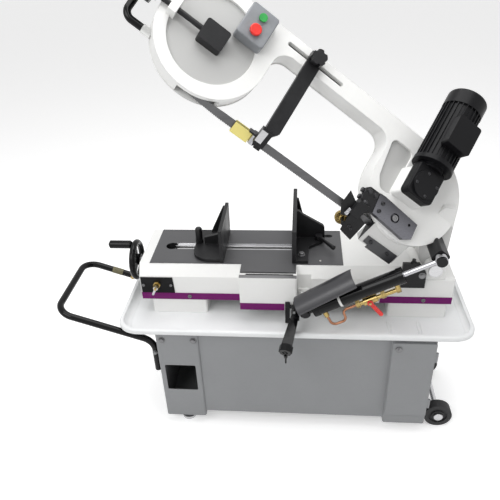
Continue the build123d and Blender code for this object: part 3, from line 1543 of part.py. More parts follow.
# Band wheels: rim with a front flange behind the blade's back edge, dished web with lightening holes, hub
rim_depth = 18.0
web_half = 4.0
wheel_hub_r = 34.0
hole_ring_r = 88.0
hole_r = 24.0
wheel_half = wheel_width / 2
flange_width = 3.0
with BuildPart() as drive_wheel:
    with BuildSketch(wheel_face(-wheel_half)):
        with Locations((drive_along, blade_r)):
            Circle(wheel_r)
            Circle(wheel_r - rim_depth, mode=Mode.SUBTRACT)
            Circle(wheel_hub_r)
    extrude(amount=wheel_width)
    with BuildSketch(wheel_face(-web_half)):
        with Locations((drive_along, blade_r)):
            Circle(wheel_r - rim_depth / 2)
            with PolarLocations(hole_ring_r, 5):
                Circle(hole_r, mode=Mode.SUBTRACT)
    extrude(amount=2 * web_half)
    with BuildSketch(wheel_face(wheel_half)):
        with Locations((drive_along, blade_r)):
            Circle(wheel_r + wheel_flange)
            Circle(wheel_r - rim_depth, mode=Mode.SUBTRACT)
    extrude(amount=flange_width)
    with BuildSketch(wheel_face(-wheel_half)):
        with Locations((drive_along, blade_r)):
            Circle(wheel_shaft_d / 2)
    extrude(amount=wheel_half + pad_face + 28.0)
drive_wheel.part.label = "drive_wheel"
export_step(drive_wheel.part, "parts/drive_wheel.step")

with BuildPart() as idler_wheel:
    with BuildSketch(wheel_face(-wheel_half)):
        with Locations((idler_along, blade_r)):
            Circle(wheel_r)
            Circle(wheel_r - rim_depth, mode=Mode.SUBTRACT)
            Circle(wheel_hub_r)
    extrude(amount=wheel_width)
    with BuildSketch(wheel_face(-web_half)):
        with Locations((idler_along, blade_r)):
            Circle(wheel_r - rim_depth / 2)
            with PolarLocations(hole_ring_r, 5):
                Circle(hole_r, mode=Mode.SUBTRACT)
    extrude(amount=2 * web_half)
    with BuildSketch(wheel_face(wheel_half)):
        with Locations((idler_along, blade_r)):
            Circle(wheel_r + wheel_flange)
            Circle(wheel_r - rim_depth, mode=Mode.SUBTRACT)
    extrude(amount=flange_width)
    with BuildSketch(wheel_face(-wheel_half)):
        with Locations((idler_along, blade_r)):
            Circle(wheel_shaft_d / 2 + run_gap)
    extrude(amount=wheel_width, mode=Mode.SUBTRACT)
idler_wheel.part.label = "idler_wheel"
export_step(idler_wheel.part, "parts/idler_wheel.step")

# Tension slide with the idler's axle, pulled out by the tension screw
slide_half_x = 38.0
slide_half_m = 32.0
slide_face = 70.0
with BuildPart() as tension_slide:
    with BuildSketch(wheel_face(case_face + seat_gap)):
        with Locations((idler_along, blade_r)):
            RectangleRounded(2 * slide_half_x, 2 * slide_half_m, 8.0)
    extrude(amount=slide_face - case_face - seat_gap)
    with BuildSketch(wheel_face(-wheel_half)):
        with Locations((idler_along, blade_r)):
            Circle(wheel_shaft_d / 2)
    extrude(amount=wheel_half + case_face + 10.0)
tension_slide.part.label = "tension_slide"
export_step(tension_slide.part, "parts/tension_slide.step")

knob_r = 34.0
knob_from = tension_lug_from - 78.0
knob_length = 28.0
with BuildPart() as tension_knob:
    with BuildSketch(wheel_cross(knob_from)):
        with Locations((-tension_g, blade_r)):
            Circle(knob_r)
            with PolarLocations(knob_r + 3.0, 6):
                Circle(8.0, mode=Mode.SUBTRACT)
    extrude(amount=knob_length)
    with BuildSketch(wheel_cross(knob_from + knob_length)):
        with Locations((-tension_g, blade_r)):
            Circle(knob_r * 0.5)
    extrude(amount=12.0)
    with BuildSketch(wheel_cross(knob_from + knob_length)):
        with Locations((-tension_g, blade_r)):
            Circle(tension_screw_d / 2)
    extrude(amount=idler_along - slide_half_x - seat_gap - knob_from - knob_length)
tension_knob.part.label = "tension_knob"
export_step(tension_knob.part, "parts/tension_knob.step")

# Saw blade: toothed upright run through the guides, twisted runs, two wheel arcs and the upper run
upright_from = -395.0
upright_to = 104.0
twist_turn = 90.0 - wheel_tilt
twist_steps = 5
lead_in = 14.0  # flat run before the blade twists
teeth = int((upright_to - upright_from) / tooth_pitch)
half_w = blade_width / 2
half_t = blade_thickness / 2
tooth_points = []
for i in range(teeth):
    start = upright_to - i * tooth_pitch
    tooth_points.append((start, -half_w))
    tooth_points.append((start - tooth_pitch * 0.72, -half_w + tooth_depth))
with BuildPart() as saw_blade:
    with BuildSketch(bow_front(half_t)):
        with BuildLine():
            Polyline(
                *tooth_points,
                (upright_to - teeth * tooth_pitch, -half_w),
                (upright_from, -half_w),
                (upright_from, half_w),
                (upright_to, half_w),
                close=True,
            )
        make_face()
    extrude(amount=blade_thickness)
    for start, stop in ((upright_to, drive_along - lead_in), (upright_from, idler_along + 2 * lead_in)):
        for i in range(twist_steps):
            for k in (i, i + 1):
                with BuildSketch(bow_cross(start + (stop - start) * k / twist_steps)):
                    Rectangle(blade_thickness, blade_width, rotation=twist_turn * k / twist_steps)
            loft(ruled=True)
    for start, stop in ((drive_along - lead_in, drive_along), (idler_along, idler_along + 2 * lead_in)):
        with BuildSketch(wheel_face(-half_w)):
            with Locations(((start + stop) / 2, 0)):
                Rectangle(stop - start, blade_thickness)
        extrude(amount=blade_width)
    for x, start in ((drive_along, -90), (idler_along, 90)):
        with BuildSketch(wheel_face(-half_w)):
            with BuildLine():
                outer = CenterArc((x, blade_r), blade_r + half_t, start, 180)
                inner = CenterArc((x, blade_r), blade_r - half_t, start, 180)
                Line(outer @ 0, inner @ 0)
                Line(outer @ 1, inner @ 1)
            make_face()
        extrude(amount=blade_width)
    with BuildSketch(wheel_face(-half_w)):
        with Locations(((drive_along + idler_along) / 2, 2 * blade_r)):
            Rectangle(drive_along - idler_along, blade_thickness)
    extrude(amount=blade_width)
saw_blade.part.label = "saw_blade"
export_step(saw_blade.part, "parts/saw_blade.step")

# Worm gearbox on the casting's pad, round bearing cover in front, motor flange on top
box_half = 48.0
box_low = 105.0
box_high = 215.0
box_face = 125.0
cover_r = 43.0
cover_plate = 8.0
flange_r = 63.0
flange_plate = 14.0
motor_g = 108.0
with BuildPart() as gearbox:
    with BuildSketch(wheel_face(pad_face)):
        with Locations((box_along, (box_low + box_high) / 2)):
            RectangleRounded(2 * box_half, box_high - box_low, 14.0)
    extrude(amount=box_face - pad_face)
    fillet(faces().sort_by(lambda f: f.center().dot(toward))[-1].edges(), 5.0)
    with BuildSketch(wheel_face(box_face - 6.0)):
        with Locations((box_along, blade_r)):
            Circle(cover_r)
    extrude(amount=cover_plate + 6.0)
    with BuildSketch(wheel_rise(box_high - 10.0)):
        with Locations((box_along, -motor_g)):
            Circle(box_half - 12.0)
    extrude(amount=10.0)
    with BuildSketch(wheel_rise(box_high)):
        with Locations((box_along, -motor_g)):
            Circle(flange_r)
    extrude(amount=flange_plate)
    with BuildSketch(wheel_face(pad_face)):
        with Locations((drive_along, blade_r)):
            Circle(wheel_shaft_d / 2 + run_gap)
    extrude(amount=30.0, mode=Mode.SUBTRACT)
gearbox.part.label = "gearbox"
export_step(gearbox.part, "parts/gearbox.step")

# Motor: finned body, fan cover and terminal box
motor_low = box_high + flange_plate
motor_body = 190.0
motor_r = 56.0
fin_count = 26
fin_height = 6.0
fan_length = 52.0
with BuildPart() as motor:
    with BuildSketch(wheel_rise(motor_low)):
        with Locations((box_along, -motor_g)):
            Circle(motor_r)
            with PolarLocations(motor_r + fin_height / 2 - 1.0, fin_count):
                Rectangle(fin_height, 3.0)
    extrude(amount=motor_body)
    with BuildSketch(wheel_rise(motor_low + motor_body)):
        with Locations((box_along, -motor_g)):
            Circle(motor_r + fin_height)
    extrude(amount=fan_length)
    fillet(edges().sort_by(lambda e: e.center().dot(lean))[-1], 10.0)
    with BuildSketch(wheel_face(motor_g + motor_r - 4.0)):
        with Locations((box_along, motor_low + motor_body * 0.45)):
            RectangleRounded(82.0, 96.0, 8.0)
    extrude(amount=34.0)
motor.part.label = "motor"
export_step(motor.part, "parts/motor.step")

# Black plate on the block below the drive wheel
plate_from = 176.0
plate_to = 296.0
plate_below = 64.0
plate_above = -26.0
with BuildPart() as guard_plate:
    with BuildSketch(bow_front(-block_ahead)):
        with BuildLine():
            Polyline(
                (plate_from, plate_above),
                (plate_from, -52.0),
                (plate_from + 20.0, -53.0),
                (plate_from + 18.0, -plate_below),
                (plate_to, -plate_below),
                (plate_to, plate_above),
                close=True,
            )
        make_face()
    extrude(amount=3.0)
guard_plate.part.label = "guard_plate"
export_step(guard_plate.part, "parts/guard_plate.step")

# Steel guide bar across the front of the casting, with a counterbored bolt hole
bar_face = 60.0
bar_bolt = (197.0, 38.0)
with BuildPart() as guide_bar:
    with BuildSketch(wheel_face(rim_face)):
        with BuildLine():
            Polyline(
                (124, 10), (117, 75), (136, 76), (274, 64), (278, 13), (254, -2), (159, 7), close=True
            )
        make_face()
        with Locations((250.0, 47.0)):
            Circle(4.5, mode=Mode.SUBTRACT)
    extrude(amount=bar_face - rim_face)
    with BuildSketch(wheel_face(bar_face - 10.0)):
        with Locations(bar_bolt):
            Circle(15.0)
            Circle(10.5, mode=Mode.SUBTRACT)
    extrude(amount=10.0, mode=Mode.SUBTRACT)
guide_bar.part.label = "guide_bar"
export_step(guide_bar.part, "parts/guide_bar.step")


# Blade guide head: slotted block, two upright guide pins and the bridge above the blade
slot_half = blade_thickness / 2 + 0.45
guide_pin_r = 10.0
guide_pin_y = blade_thickness / 2 + seat_gap + guide_pin_r
head_low = -12.0
head_high = 20.0
bridge_low = 15.0
ear_front = 52.0
ear_back = 22.0
ear_low = 8.0
ear_high = 58.0


def guide_head(start, bridge):
    with BuildPart() as head:
        with BuildSketch(bow_cross(start + 22.0)):
            with BuildLine():
                Polyline((10, head_low), (10, head_high), (-26, head_high), (-26, head_low), close=True)
            make_face()
        extrude(amount=20.0)
        with BuildSketch(bow_cross(start + 8.0)):
            with Locations((-(ear_front + ear_back) / 2, (ear_low + ear_high) / 2)):
                Rectangle(ear_front - ear_back, ear_high - ear_low)
        extrude(amount=34.0)
        with BuildSketch(bow_cross(start - bridge)):
            with Locations((-3.0, (bridge_low + head_high) / 2)):
                Rectangle(26.0, head_high - bridge_low)
        extrude(amount=24.0 + bridge)
        with BuildSketch(Plane(origin=blade_point + upright * head_low, x_dir=along, z_dir=upright)):
            with Locations((start + 11.0, guide_pin_y), (start + 11.0, -guide_pin_y)):
                Circle(guide_pin_r)
        extrude(amount=head_high - head_low - 1.0)
        with BuildSketch(bow_cross(start - bridge)):
            with Locations((0, (head_low - 6.0 + half_w + 0.7) / 2)):
                Rectangle(2 * slot_half, half_w + 0.7 - head_low + 6.0)
        extrude(amount=60.0 + bridge, mode=Mode.SUBTRACT)
    return head.part


# Fixed guide beside the drive wheel, with its front plate and chip deflector
with BuildPart() as fixed_guide:
    add(guide_head(58.0, 0.0))
    with BuildSketch(wheel_face(rim_face + seat_gap)):
        with BuildLine():
            Polyline((70, -8), (70, 66), (80, 74), (116.5, 74), (123.0, 10), (100, -8), close=True)
        make_face()
    extrude(amount=bar_face - 2.0 - rim_face)
    with BuildSketch(bow_front(-30.0)):
        with BuildLine():
            Polyline((28, 60), (82, 32), (82, -8), (56, -20), (34, 10), close=True)
        make_face()
    extrude(amount=3.0)
fixed_guide.part.label = "fixed_guide"
export_step(fixed_guide.part, "parts/fixed_guide.step")

# Brush bracket under the fixed guide, with the brush spindle
brush_x = 78.0
brush_n = -37.0
brush_r = 22.5
brush_half = 9.0
spindle_d = 8.0
bracket_plate_y = -33.0
with BuildPart() as brush_bracket:
    with BuildSketch(bow_front(bracket_plate_y)):
        with BuildLine():
            Polyline(
                (88, -59), (136, -68), (134, 2), (101, 13), (101, head_low), (88, head_low), (88, -28),
                (brush_x, brush_n + 7.0), (brush_x - 6.0, brush_n), (brush_x, brush_n - 7.0), (88, -46), close=True,
            )
        make_face()
    extrude(amount=3.0)
    with BuildSketch(bow_front(brush_half + 4.0)):
        with Locations((brush_x, brush_n)):
            Circle(spindle_d / 2)
    extrude(amount=brush_half + 4.0 - bracket_plate_y + 1.0)
    with BuildSketch(bow_front(brush_half + 4.0)):
        with Locations((brush_x, brush_n)):
            Circle(spindle_d / 2 + 3.0)
    extrude(amount=3.0)
brush_bracket.part.label = "brush_bracket"
export_step(brush_bracket.part, "parts/brush_bracket.step")

# Wire brush: three-sided strands in rows round a hub
strand_rows = 6
strand_count = 54
strand_side = 1.5
brush_hub_r = 9.0
strand_list = []
for row in range(strand_rows):
    strand_y = brush_half - 1.6 - row * (2 * brush_half - 3.2) / (strand_rows - 1)
    for i in range(strand_count):
        turn = radians(360.0 / strand_count * (i + 0.5 * (row % 2)))
        reach = Vector(along * cos(turn) + upright * sin(turn))
        foot = blade_point + along * brush_x + upright * brush_n + back * strand_y
        with BuildSketch(Plane(origin=foot + reach * (brush_hub_r - 1.5), x_dir=back, z_dir=reach)) as strand:
            RegularPolygon(strand_side / sqrt(3), 3)
        strand_list.append(Solid.extrude(strand.sketch.faces()[0], reach * (brush_r - brush_hub_r + 1.5)))
with BuildPart() as wire_brush:
    with BuildSketch(bow_front(brush_half)):
        with Locations((brush_x, brush_n)):
            Circle(brush_hub_r)
            Circle(spindle_d / 2 + run_gap, mode=Mode.SUBTRACT)
    extrude(amount=2 * brush_half)
    add(strand_list)
wire_brush.part.label = "wire_brush"
export_step(wire_brush.part, "parts/wire_brush.step")

# Sliding guide arm on the beam, with its own guide head
arm_from = -284.0
arm_to = -240.0
arm_start = -300.0
with BuildPart() as guide_arm:
    add(guide_head(arm_start, 12.0))
    with BuildSketch(wheel_face(rim_face + seat_gap)):
        with BuildLine():
            Polyline(
                (arm_start + 20.0, 14), (arm_from, 34), (arm_from, case_top - 10.0), (arm_to, case_top - 10.0),
                (arm_to, 34), (arm_start + 44.0, 14), close=True,
            )
        make_face()
        with Locations(((arm_from + arm_to) / 2, arm_slot_rise)):
            Circle(6.0 + run_gap, mode=Mode.SUBTRACT)
    extrude(amount=bar_face - rim_face)
guide_arm.part.label = "guide_arm"
export_step(guide_arm.part, "parts/guide_arm.step")

# Sheet blade guard at the left of the sliding guide
guard_half = 9.0
channel_sheet = 1.5
channel_low = -20.0
with BuildPart() as arm_guard:
    with BuildSketch(bow_cross(arm_start - 58.0)):
        with BuildLine():
            Polyline(
                (-guard_half, bridge_low),
                (-guard_half, channel_low),
                (guard_half, channel_low),
                (guard_half, bridge_low),
                (guard_half - channel_sheet, bridge_low),
                (guard_half - channel_sheet, channel_low + channel_sheet),
                (-guard_half + channel_sheet, channel_low + channel_sheet),
                (-guard_half + channel_sheet, bridge_low),
                close=True,
            )
        make_face()
    extrude(amount=58.0)
arm_guard.part.label = "arm_guard"
export_step(arm_guard.part, "parts/arm_guard.step")

# Star knob that locks the arm on the beam
arm_knob_r = 24.0
with BuildPart() as arm_knob:
    with BuildSketch(wheel_face(bar_face + 2 * seat_gap)):
        with Locations(((arm_from + arm_to) / 2, arm_slot_rise)):
            Circle(14.0)
    extrude(amount=8.0)
    with BuildSketch(wheel_face(bar_face + 8.0)):
        with Locations(((arm_from + arm_to) / 2, arm_slot_rise)):
            Circle(arm_knob_r)
            with PolarLocations(arm_knob_r + 2.0, 5):
                Circle(7.0, mode=Mode.SUBTRACT)
    extrude(amount=20.0)
    with BuildSketch(wheel_face(case_floor + 2.0)):
        with Locations(((arm_from + arm_to) / 2, arm_slot_rise)):
            Circle(6.0)
    extrude(amount=bar_face - case_floor)
arm_knob.part.label = "arm_knob"
export_step(arm_knob.part, "parts/arm_knob.step")

# Lifting handle at the idler end of the bow
grip_out = 60.0
with BuildPart() as bow_handle:
    with BuildLine(wheel_face(grip_boss_g)) as grip_path:
        FilletPolyline(
            (grip_boss_end, blade_r - grip_boss_m),
            (grip_boss_end - grip_out, blade_r - grip_boss_m),
            (grip_boss_end - grip_out, blade_r + grip_boss_m),
            (grip_boss_end, blade_r + grip_boss_m),
            radius=26.0,
        )
    with BuildSketch(Plane(origin=grip_path.line @ 0, z_dir=grip_path.line % 0)):
        Circle(11.0)
    sweep(path=grip_path.line)
bow_handle.part.label = "bow_handle"
export_step(bow_handle.part, "parts/bow_handle.step")

# Bracket on the bow's pivot arm that carries the rod pin
rod_along = (rod_eye - blade_point).dot(along)
rod_up = (rod_eye - blade_point).dot(upright)
rod_block = 44.0
rod_back = cyl_y + eye_width / 2 + 2.0 - (jaw_y - blade_front)
rod_front = cyl_y - eye_width / 2 - 2.0 - (jaw_y - blade_front)
with BuildPart() as rod_bracket:
    with BuildSketch(bow_front(web_y)):
        with Locations((rod_along, rod_up)):
            RectangleRounded(rod_block, rod_block, 8.0)
    extrude(amount=web_y - rod_back)
    extrude(bow_outline(wheel_face(case_back - 1.0), seat_gap), amount=rim_face - case_back + 2.0, mode=Mode.SUBTRACT)
    with BuildSketch(bow_front(rod_back)):
        with Locations((rod_along, rod_up)):
            Circle(pin_d / 2)
    extrude(amount=rod_back - rod_front)
    with BuildSketch(bow_front(rod_front)):
        with Locations((rod_along, rod_up)):
            Circle(rod_eye_r + 5.0)
    extrude(amount=4.0)
rod_bracket.part.label = "rod_bracket"
export_step(rod_bracket.part, "parts/rod_bracket.step")

# Switch box at the idler end with a start and a stop button
switch_x = -455.0
switch_m = 246.0
switch_width = 88.0
switch_height = 104.0
switch_face = 84.0
button_pitch = 42.0
button_d = 24.0
button_stem_d = 15.0
button_rise = 9.0
button_travel = 4.0
with BuildPart() as switch_box:
    with BuildSketch(wheel_face(rim_face)):
        with Locations((switch_x, switch_m)):
            RectangleRounded(switch_width, switch_height, 8.0)
    extrude(amount=switch_face - rim_face)
    fillet(faces().sort_by(lambda f: f.center().dot(toward))[-1].edges(), 4.0)
    with BuildSketch(wheel_face(switch_face - 20.0)):
        with Locations((switch_x, switch_m - button_pitch / 2), (switch_x, switch_m + button_pitch / 2)):
            Circle(button_stem_d / 2 + seat_gap)
    extrude(amount=20.0, mode=Mode.SUBTRACT)
switch_box.part.label = "switch_box"
export_step(switch_box.part, "parts/switch_box.step")

with BuildPart() as start_button:
    with BuildSketch(wheel_face(switch_face - 12.0)):
        with Locations((switch_x, switch_m + button_pitch / 2)):
            Circle(button_stem_d / 2)
    extrude(amount=12.0 + button_travel + 1.0)
    with BuildSketch(wheel_face(switch_face + button_travel + 1.0)):
        with Locations((switch_x, switch_m + button_pitch / 2)):
            Circle(button_d / 2)
    extrude(amount=button_rise - button_travel)
start_button.part.label = "start_button"
export_step(start_button.part, "parts/start_button.step")

with BuildPart() as stop_button:
    with BuildSketch(wheel_face(switch_face - 12.0)):
        with Locations((switch_x, switch_m - button_pitch / 2)):
            Circle(button_stem_d / 2)
    extrude(amount=12.0 + button_travel + 1.0)
    with BuildSketch(wheel_face(switch_face + button_travel + 1.0)):
        with Locations((switch_x, switch_m - button_pitch / 2)):
            Circle(button_d / 2 + 5.0)
    extrude(amount=button_rise - button_travel + 3.0)
    fillet(edges().sort_by(lambda e: e.center().dot(toward))[-1], 3.0)
stop_button.part.label = "stop_button"
export_step(stop_button.part, "parts/stop_button.step")
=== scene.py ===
from math import cos, pi, radians, sin

import bmesh
import bpy
import numpy as np
from mathutils import Matrix, Vector


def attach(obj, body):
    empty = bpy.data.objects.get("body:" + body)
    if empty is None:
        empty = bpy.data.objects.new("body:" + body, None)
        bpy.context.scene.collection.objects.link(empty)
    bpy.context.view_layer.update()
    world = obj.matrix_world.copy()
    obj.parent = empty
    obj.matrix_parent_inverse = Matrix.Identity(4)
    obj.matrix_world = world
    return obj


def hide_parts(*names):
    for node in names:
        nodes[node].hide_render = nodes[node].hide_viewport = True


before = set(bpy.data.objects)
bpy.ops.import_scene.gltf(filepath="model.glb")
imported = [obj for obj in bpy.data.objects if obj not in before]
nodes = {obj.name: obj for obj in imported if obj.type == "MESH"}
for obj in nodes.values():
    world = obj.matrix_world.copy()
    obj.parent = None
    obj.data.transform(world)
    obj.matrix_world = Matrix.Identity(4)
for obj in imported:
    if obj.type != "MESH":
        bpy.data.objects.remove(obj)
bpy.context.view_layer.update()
print("frame loaded,", len(nodes), "nodes")

# the vise corner that everything is measured from, and the raised bow's directions, in metres
perMetre = 1000.0
datum = np.array([0.1095, -0.03161, 0.640])
bowShape = {
    "raise": radians(38.19),
    "tilt": radians(40.0),
    "pivot": np.array([0.470, -0.061, 0.001]),
    "pivotAlong": 0.4583,
    "pivotUp": -0.0085,
    "driveAlong": 0.228,
    "bladeR": 0.15075,
    "loop": 2.480,
}
rightWay = np.array([1.0, 0.0, 0.0])
upWay = np.array([0.0, 0.0, 1.0])
back = np.array([0.0, 1.0, 0.0])
front = -back
along = np.array([cos(bowShape["raise"]), 0.0, -sin(bowShape["raise"])])
upright = np.array([sin(bowShape["raise"]), 0.0, cos(bowShape["raise"])])
lean = upright * cos(bowShape["tilt"]) + back * sin(bowShape["tilt"])
toward = upright * sin(bowShape["tilt"]) - back * cos(bowShape["tilt"])
pivot = datum + bowShape["pivot"]
bladePoint = pivot - along * bowShape["pivotAlong"] - upright * bowShape["pivotUp"]
idlerAlong = bowShape["driveAlong"] - (bowShape["loop"] - 2 * pi * bowShape["bladeR"]) / 2


def onStand(x, y, z):  # millimetres from the vise corner
    return datum + np.array([x, y, z]) / perMetre


def onWheels(x, m, g):  # millimetres along the blade, up the leaning wheel plane, out of it
    return bladePoint + (along * x + lean * m + toward * g) / perMetre


def onBlade(x, n, y):  # millimetres along the blade, square to it, and back
    return bladePoint + (along * x + upright * n + back * y) / perMetre


# meshes

meshCare = {"merge": 2e-6, "sliver": 1e-6, "sharp": 32.0}


def gridFaces(rows, cols, closeRows=False, closeCols=False):
    # quads between neighbouring points of a rows by cols grid
    lastRow = rows if closeRows else rows - 1
    lastCol = cols if closeCols else cols - 1
    r, c = np.meshgrid(np.arange(lastRow), np.arange(lastCol), indexing="ij")
    r2, c2 = (r + 1) % rows, (c + 1) % cols
    return np.stack([r * cols + c, r * cols + c2, r2 * cols + c2, r2 * cols + c], -1).reshape(-1, 4)


def joinGrids(parts):
    # several (points, faces) pairs as one pair
    points, faces, count = [], [], 0
    for p, f in parts:
        p = p.reshape(-1, 3)
        points.append(p)
        faces.append(f + count)
        count += len(p)
    return np.concatenate(points), np.concatenate(faces)


def linkPiece(name, mesh, body, finish, sharp=None):
    mesh.polygons.foreach_set("use_smooth", np.ones(len(mesh.polygons), bool))
    if sharp is not None:
        mesh.set_sharp_from_angle(angle=radians(sharp))
    mesh.materials.append(finishes[finish])
    piece = bpy.data.objects.new(name, mesh)
    bpy.context.scene.collection.objects.link(piece)
    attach(piece, body)
    return piece


def addPiece(name, points, faces, body, slot, finish, sharp=meshCare["sharp"]):
    # closed surface: doubled points merged, faces turned outward
    mesh = bpy.data.meshes.new(name)
    mesh.from_pydata(np.asarray(points, float).reshape(-1, 3).tolist(), [], np.asarray(faces).tolist())
    surface = bmesh.new()
    surface.from_mesh(mesh)
    bmesh.ops.remove_doubles(surface, verts=surface.verts, dist=meshCare["merge"])
    bmesh.ops.dissolve_degenerate(surface, edges=surface.edges, dist=meshCare["sliver"])
    bmesh.ops.recalc_face_normals(surface, faces=surface.faces)
    surface.to_mesh(mesh)
    surface.free()
    return linkPiece(name, mesh, body, finish, sharp)


def addFrom(name, grid, values, sharp=meshCare["sharp"]):
    # a piece whose body, slot and finish stand in its own dictionary
    return addPiece(name, *grid, values["body"], values["slot"], values["finish"], sharp)


def sideWays(axis):
    axis = axis / np.linalg.norm(axis)
    steep = 0.8
    helper = upWay if abs(axis[2]) < steep else rightWay
    side = np.cross(helper, axis)
    side = side / np.linalg.norm(side)
    return axis, side, np.cross(axis, side)


def turned(profile, origin, axis, sides, hexRows=None):
    # each profile row is radius and height in millimetres; the row's points stand at that radius round
    # the axis, and the rows marked as hexagons have the radius stretched by a hexagon's 1/cos
    axis, side, other = sideWays(np.asarray(axis, float))
    profile = np.asarray(profile, float) / perMetre
    turn = np.arange(sides) * 2 * pi / sides
    stretch = np.ones((len(profile), sides))
    if hexRows is not None:
        stretch[hexRows] = 1.0 / np.cos((turn + pi / 6) % (pi / 3) - pi / 6)
    radius = profile[:, :1] * stretch
    ring = np.cos(turn)[None, :, None] * side + np.sin(turn)[None, :, None] * other
    points = origin + radius[..., None] * ring + profile[:, 1][:, None, None] * axis
    return points, gridFaces(len(profile), sides, closeCols=True)


# screw heads, turned: rows of radius and height as shares of the head's own, and 1 for a hexagon's row
domeCut = {"fullness": 0.8, "recess": 0.42, "steps": 7}
domeRows = [
    (cos(t) ** domeCut["fullness"], sin(t), 0)
    for t in np.linspace(0.0, pi / 2, domeCut["steps"])
    if cos(t) ** domeCut["fullness"] > domeCut["recess"]
]
headKinds = {
    "socket": {"sides": 36, "rows": [
        (0.96, -0.2, 0), (1.0, 0.0, 0), (1.0, 0.78, 0), (0.93, 0.95, 0), (0.82, 1.0, 0),
        (0.52, 1.0, 1), (0.50, 0.96, 1), (0.48, 0.42, 1), (0.2, 0.40, 1), (0.0, 0.40, 0),
    ]},
    "hexagon": {"sides": 36, "rows": [
        (1.45, -0.1, 0), (1.45, 0.16, 0), (1.392, 0.2, 0),
        (0.98, 0.2, 1), (1.0, 0.24, 1), (1.0, 0.86, 1), (0.84, 1.0, 0), (0.0, 1.0, 0),
    ]},
    "dome": {"sides": 30, "rows": [
        (1.0, -0.2, 0), *domeRows, (0.36, 0.9, 0), (0.30, 0.45, 0), (0.0, 0.45, 0),
    ]},
}


def screwHead(kind, origin, axis, size):
    # size is the head's radius and height in millimetres
    rows = np.array(headKinds[kind]["rows"])
    return turned(rows[:, :2] * np.array(size), origin, axis, headKinds[kind]["sides"], rows[:, 2] == 1)


def carried(path, profile, up, scale=None, loop=False):
    # a closed profile (side, up) carried along a path, square to its run; the ends shrink to a point
    path, profile = np.asarray(path, float), np.asarray(profile, float)
    if loop:
        run = np.roll(path, -1, 0) - np.roll(path, 1, 0)
    else:
        run = np.gradient(path, axis=0)
    run = run / np.linalg.norm(run, axis=1)[:, None]
    side = np.cross(run, up)
    side = side / np.linalg.norm(side, axis=1)[:, None]
    rise = np.cross(side, run)
    size = np.ones(len(path)) if scale is None else np.asarray(scale, float)
    if not loop:
        path, side, rise = (np.concatenate([v[:1], v, v[-1:]]) for v in (path, side, rise))
        size = np.concatenate([[0.0], size, [0.0]])
    shape = size[:, None, None] * profile[None]
    points = path[:, None] + shape[..., :1] * side[:, None] + shape[..., 1:] * rise[:, None]
    return points, gridFaces(len(path), len(profile), closeRows=loop, closeCols=True)


def softBox(wide, high, soft):
    # rectangle outline with its four corners cut by the soft width
    w, h = wide / 2, high / 2
    return np.array([
        (-w + soft, -h), (w - soft, -h), (w, -h + soft), (w, h - soft),
        (w - soft, h), (-w + soft, h), (-w, h - soft), (-w, -h + soft),
    ])


def bar(start, stop, up, wide, high, soft):
    # straight bar between two points, its sizes in millimetres and its ends eased by the soft width
    wide, high, soft = wide / perMetre, high / perMetre, soft / perMetre
    run = (stop - start) / np.linalg.norm(stop - start)
    path = [start, start + run * soft, stop - run * soft, stop]
    ease = 1.0 - 2.0 * soft / max(wide, high)
    return carried(path, softBox(wide, high, soft), up, [ease, 1.0, 1.0, ease])


def prism(outline, push):
    # flat outline pushed straight along a vector; both ends close to their middle
    outline = np.asarray(outline, float)
    middle = np.broadcast_to(outline.mean(0), outline.shape)
    points = np.stack([middle, outline, outline + push, middle + push])
    return points, gridFaces(len(points), len(outline), closeCols=True)


# finishes

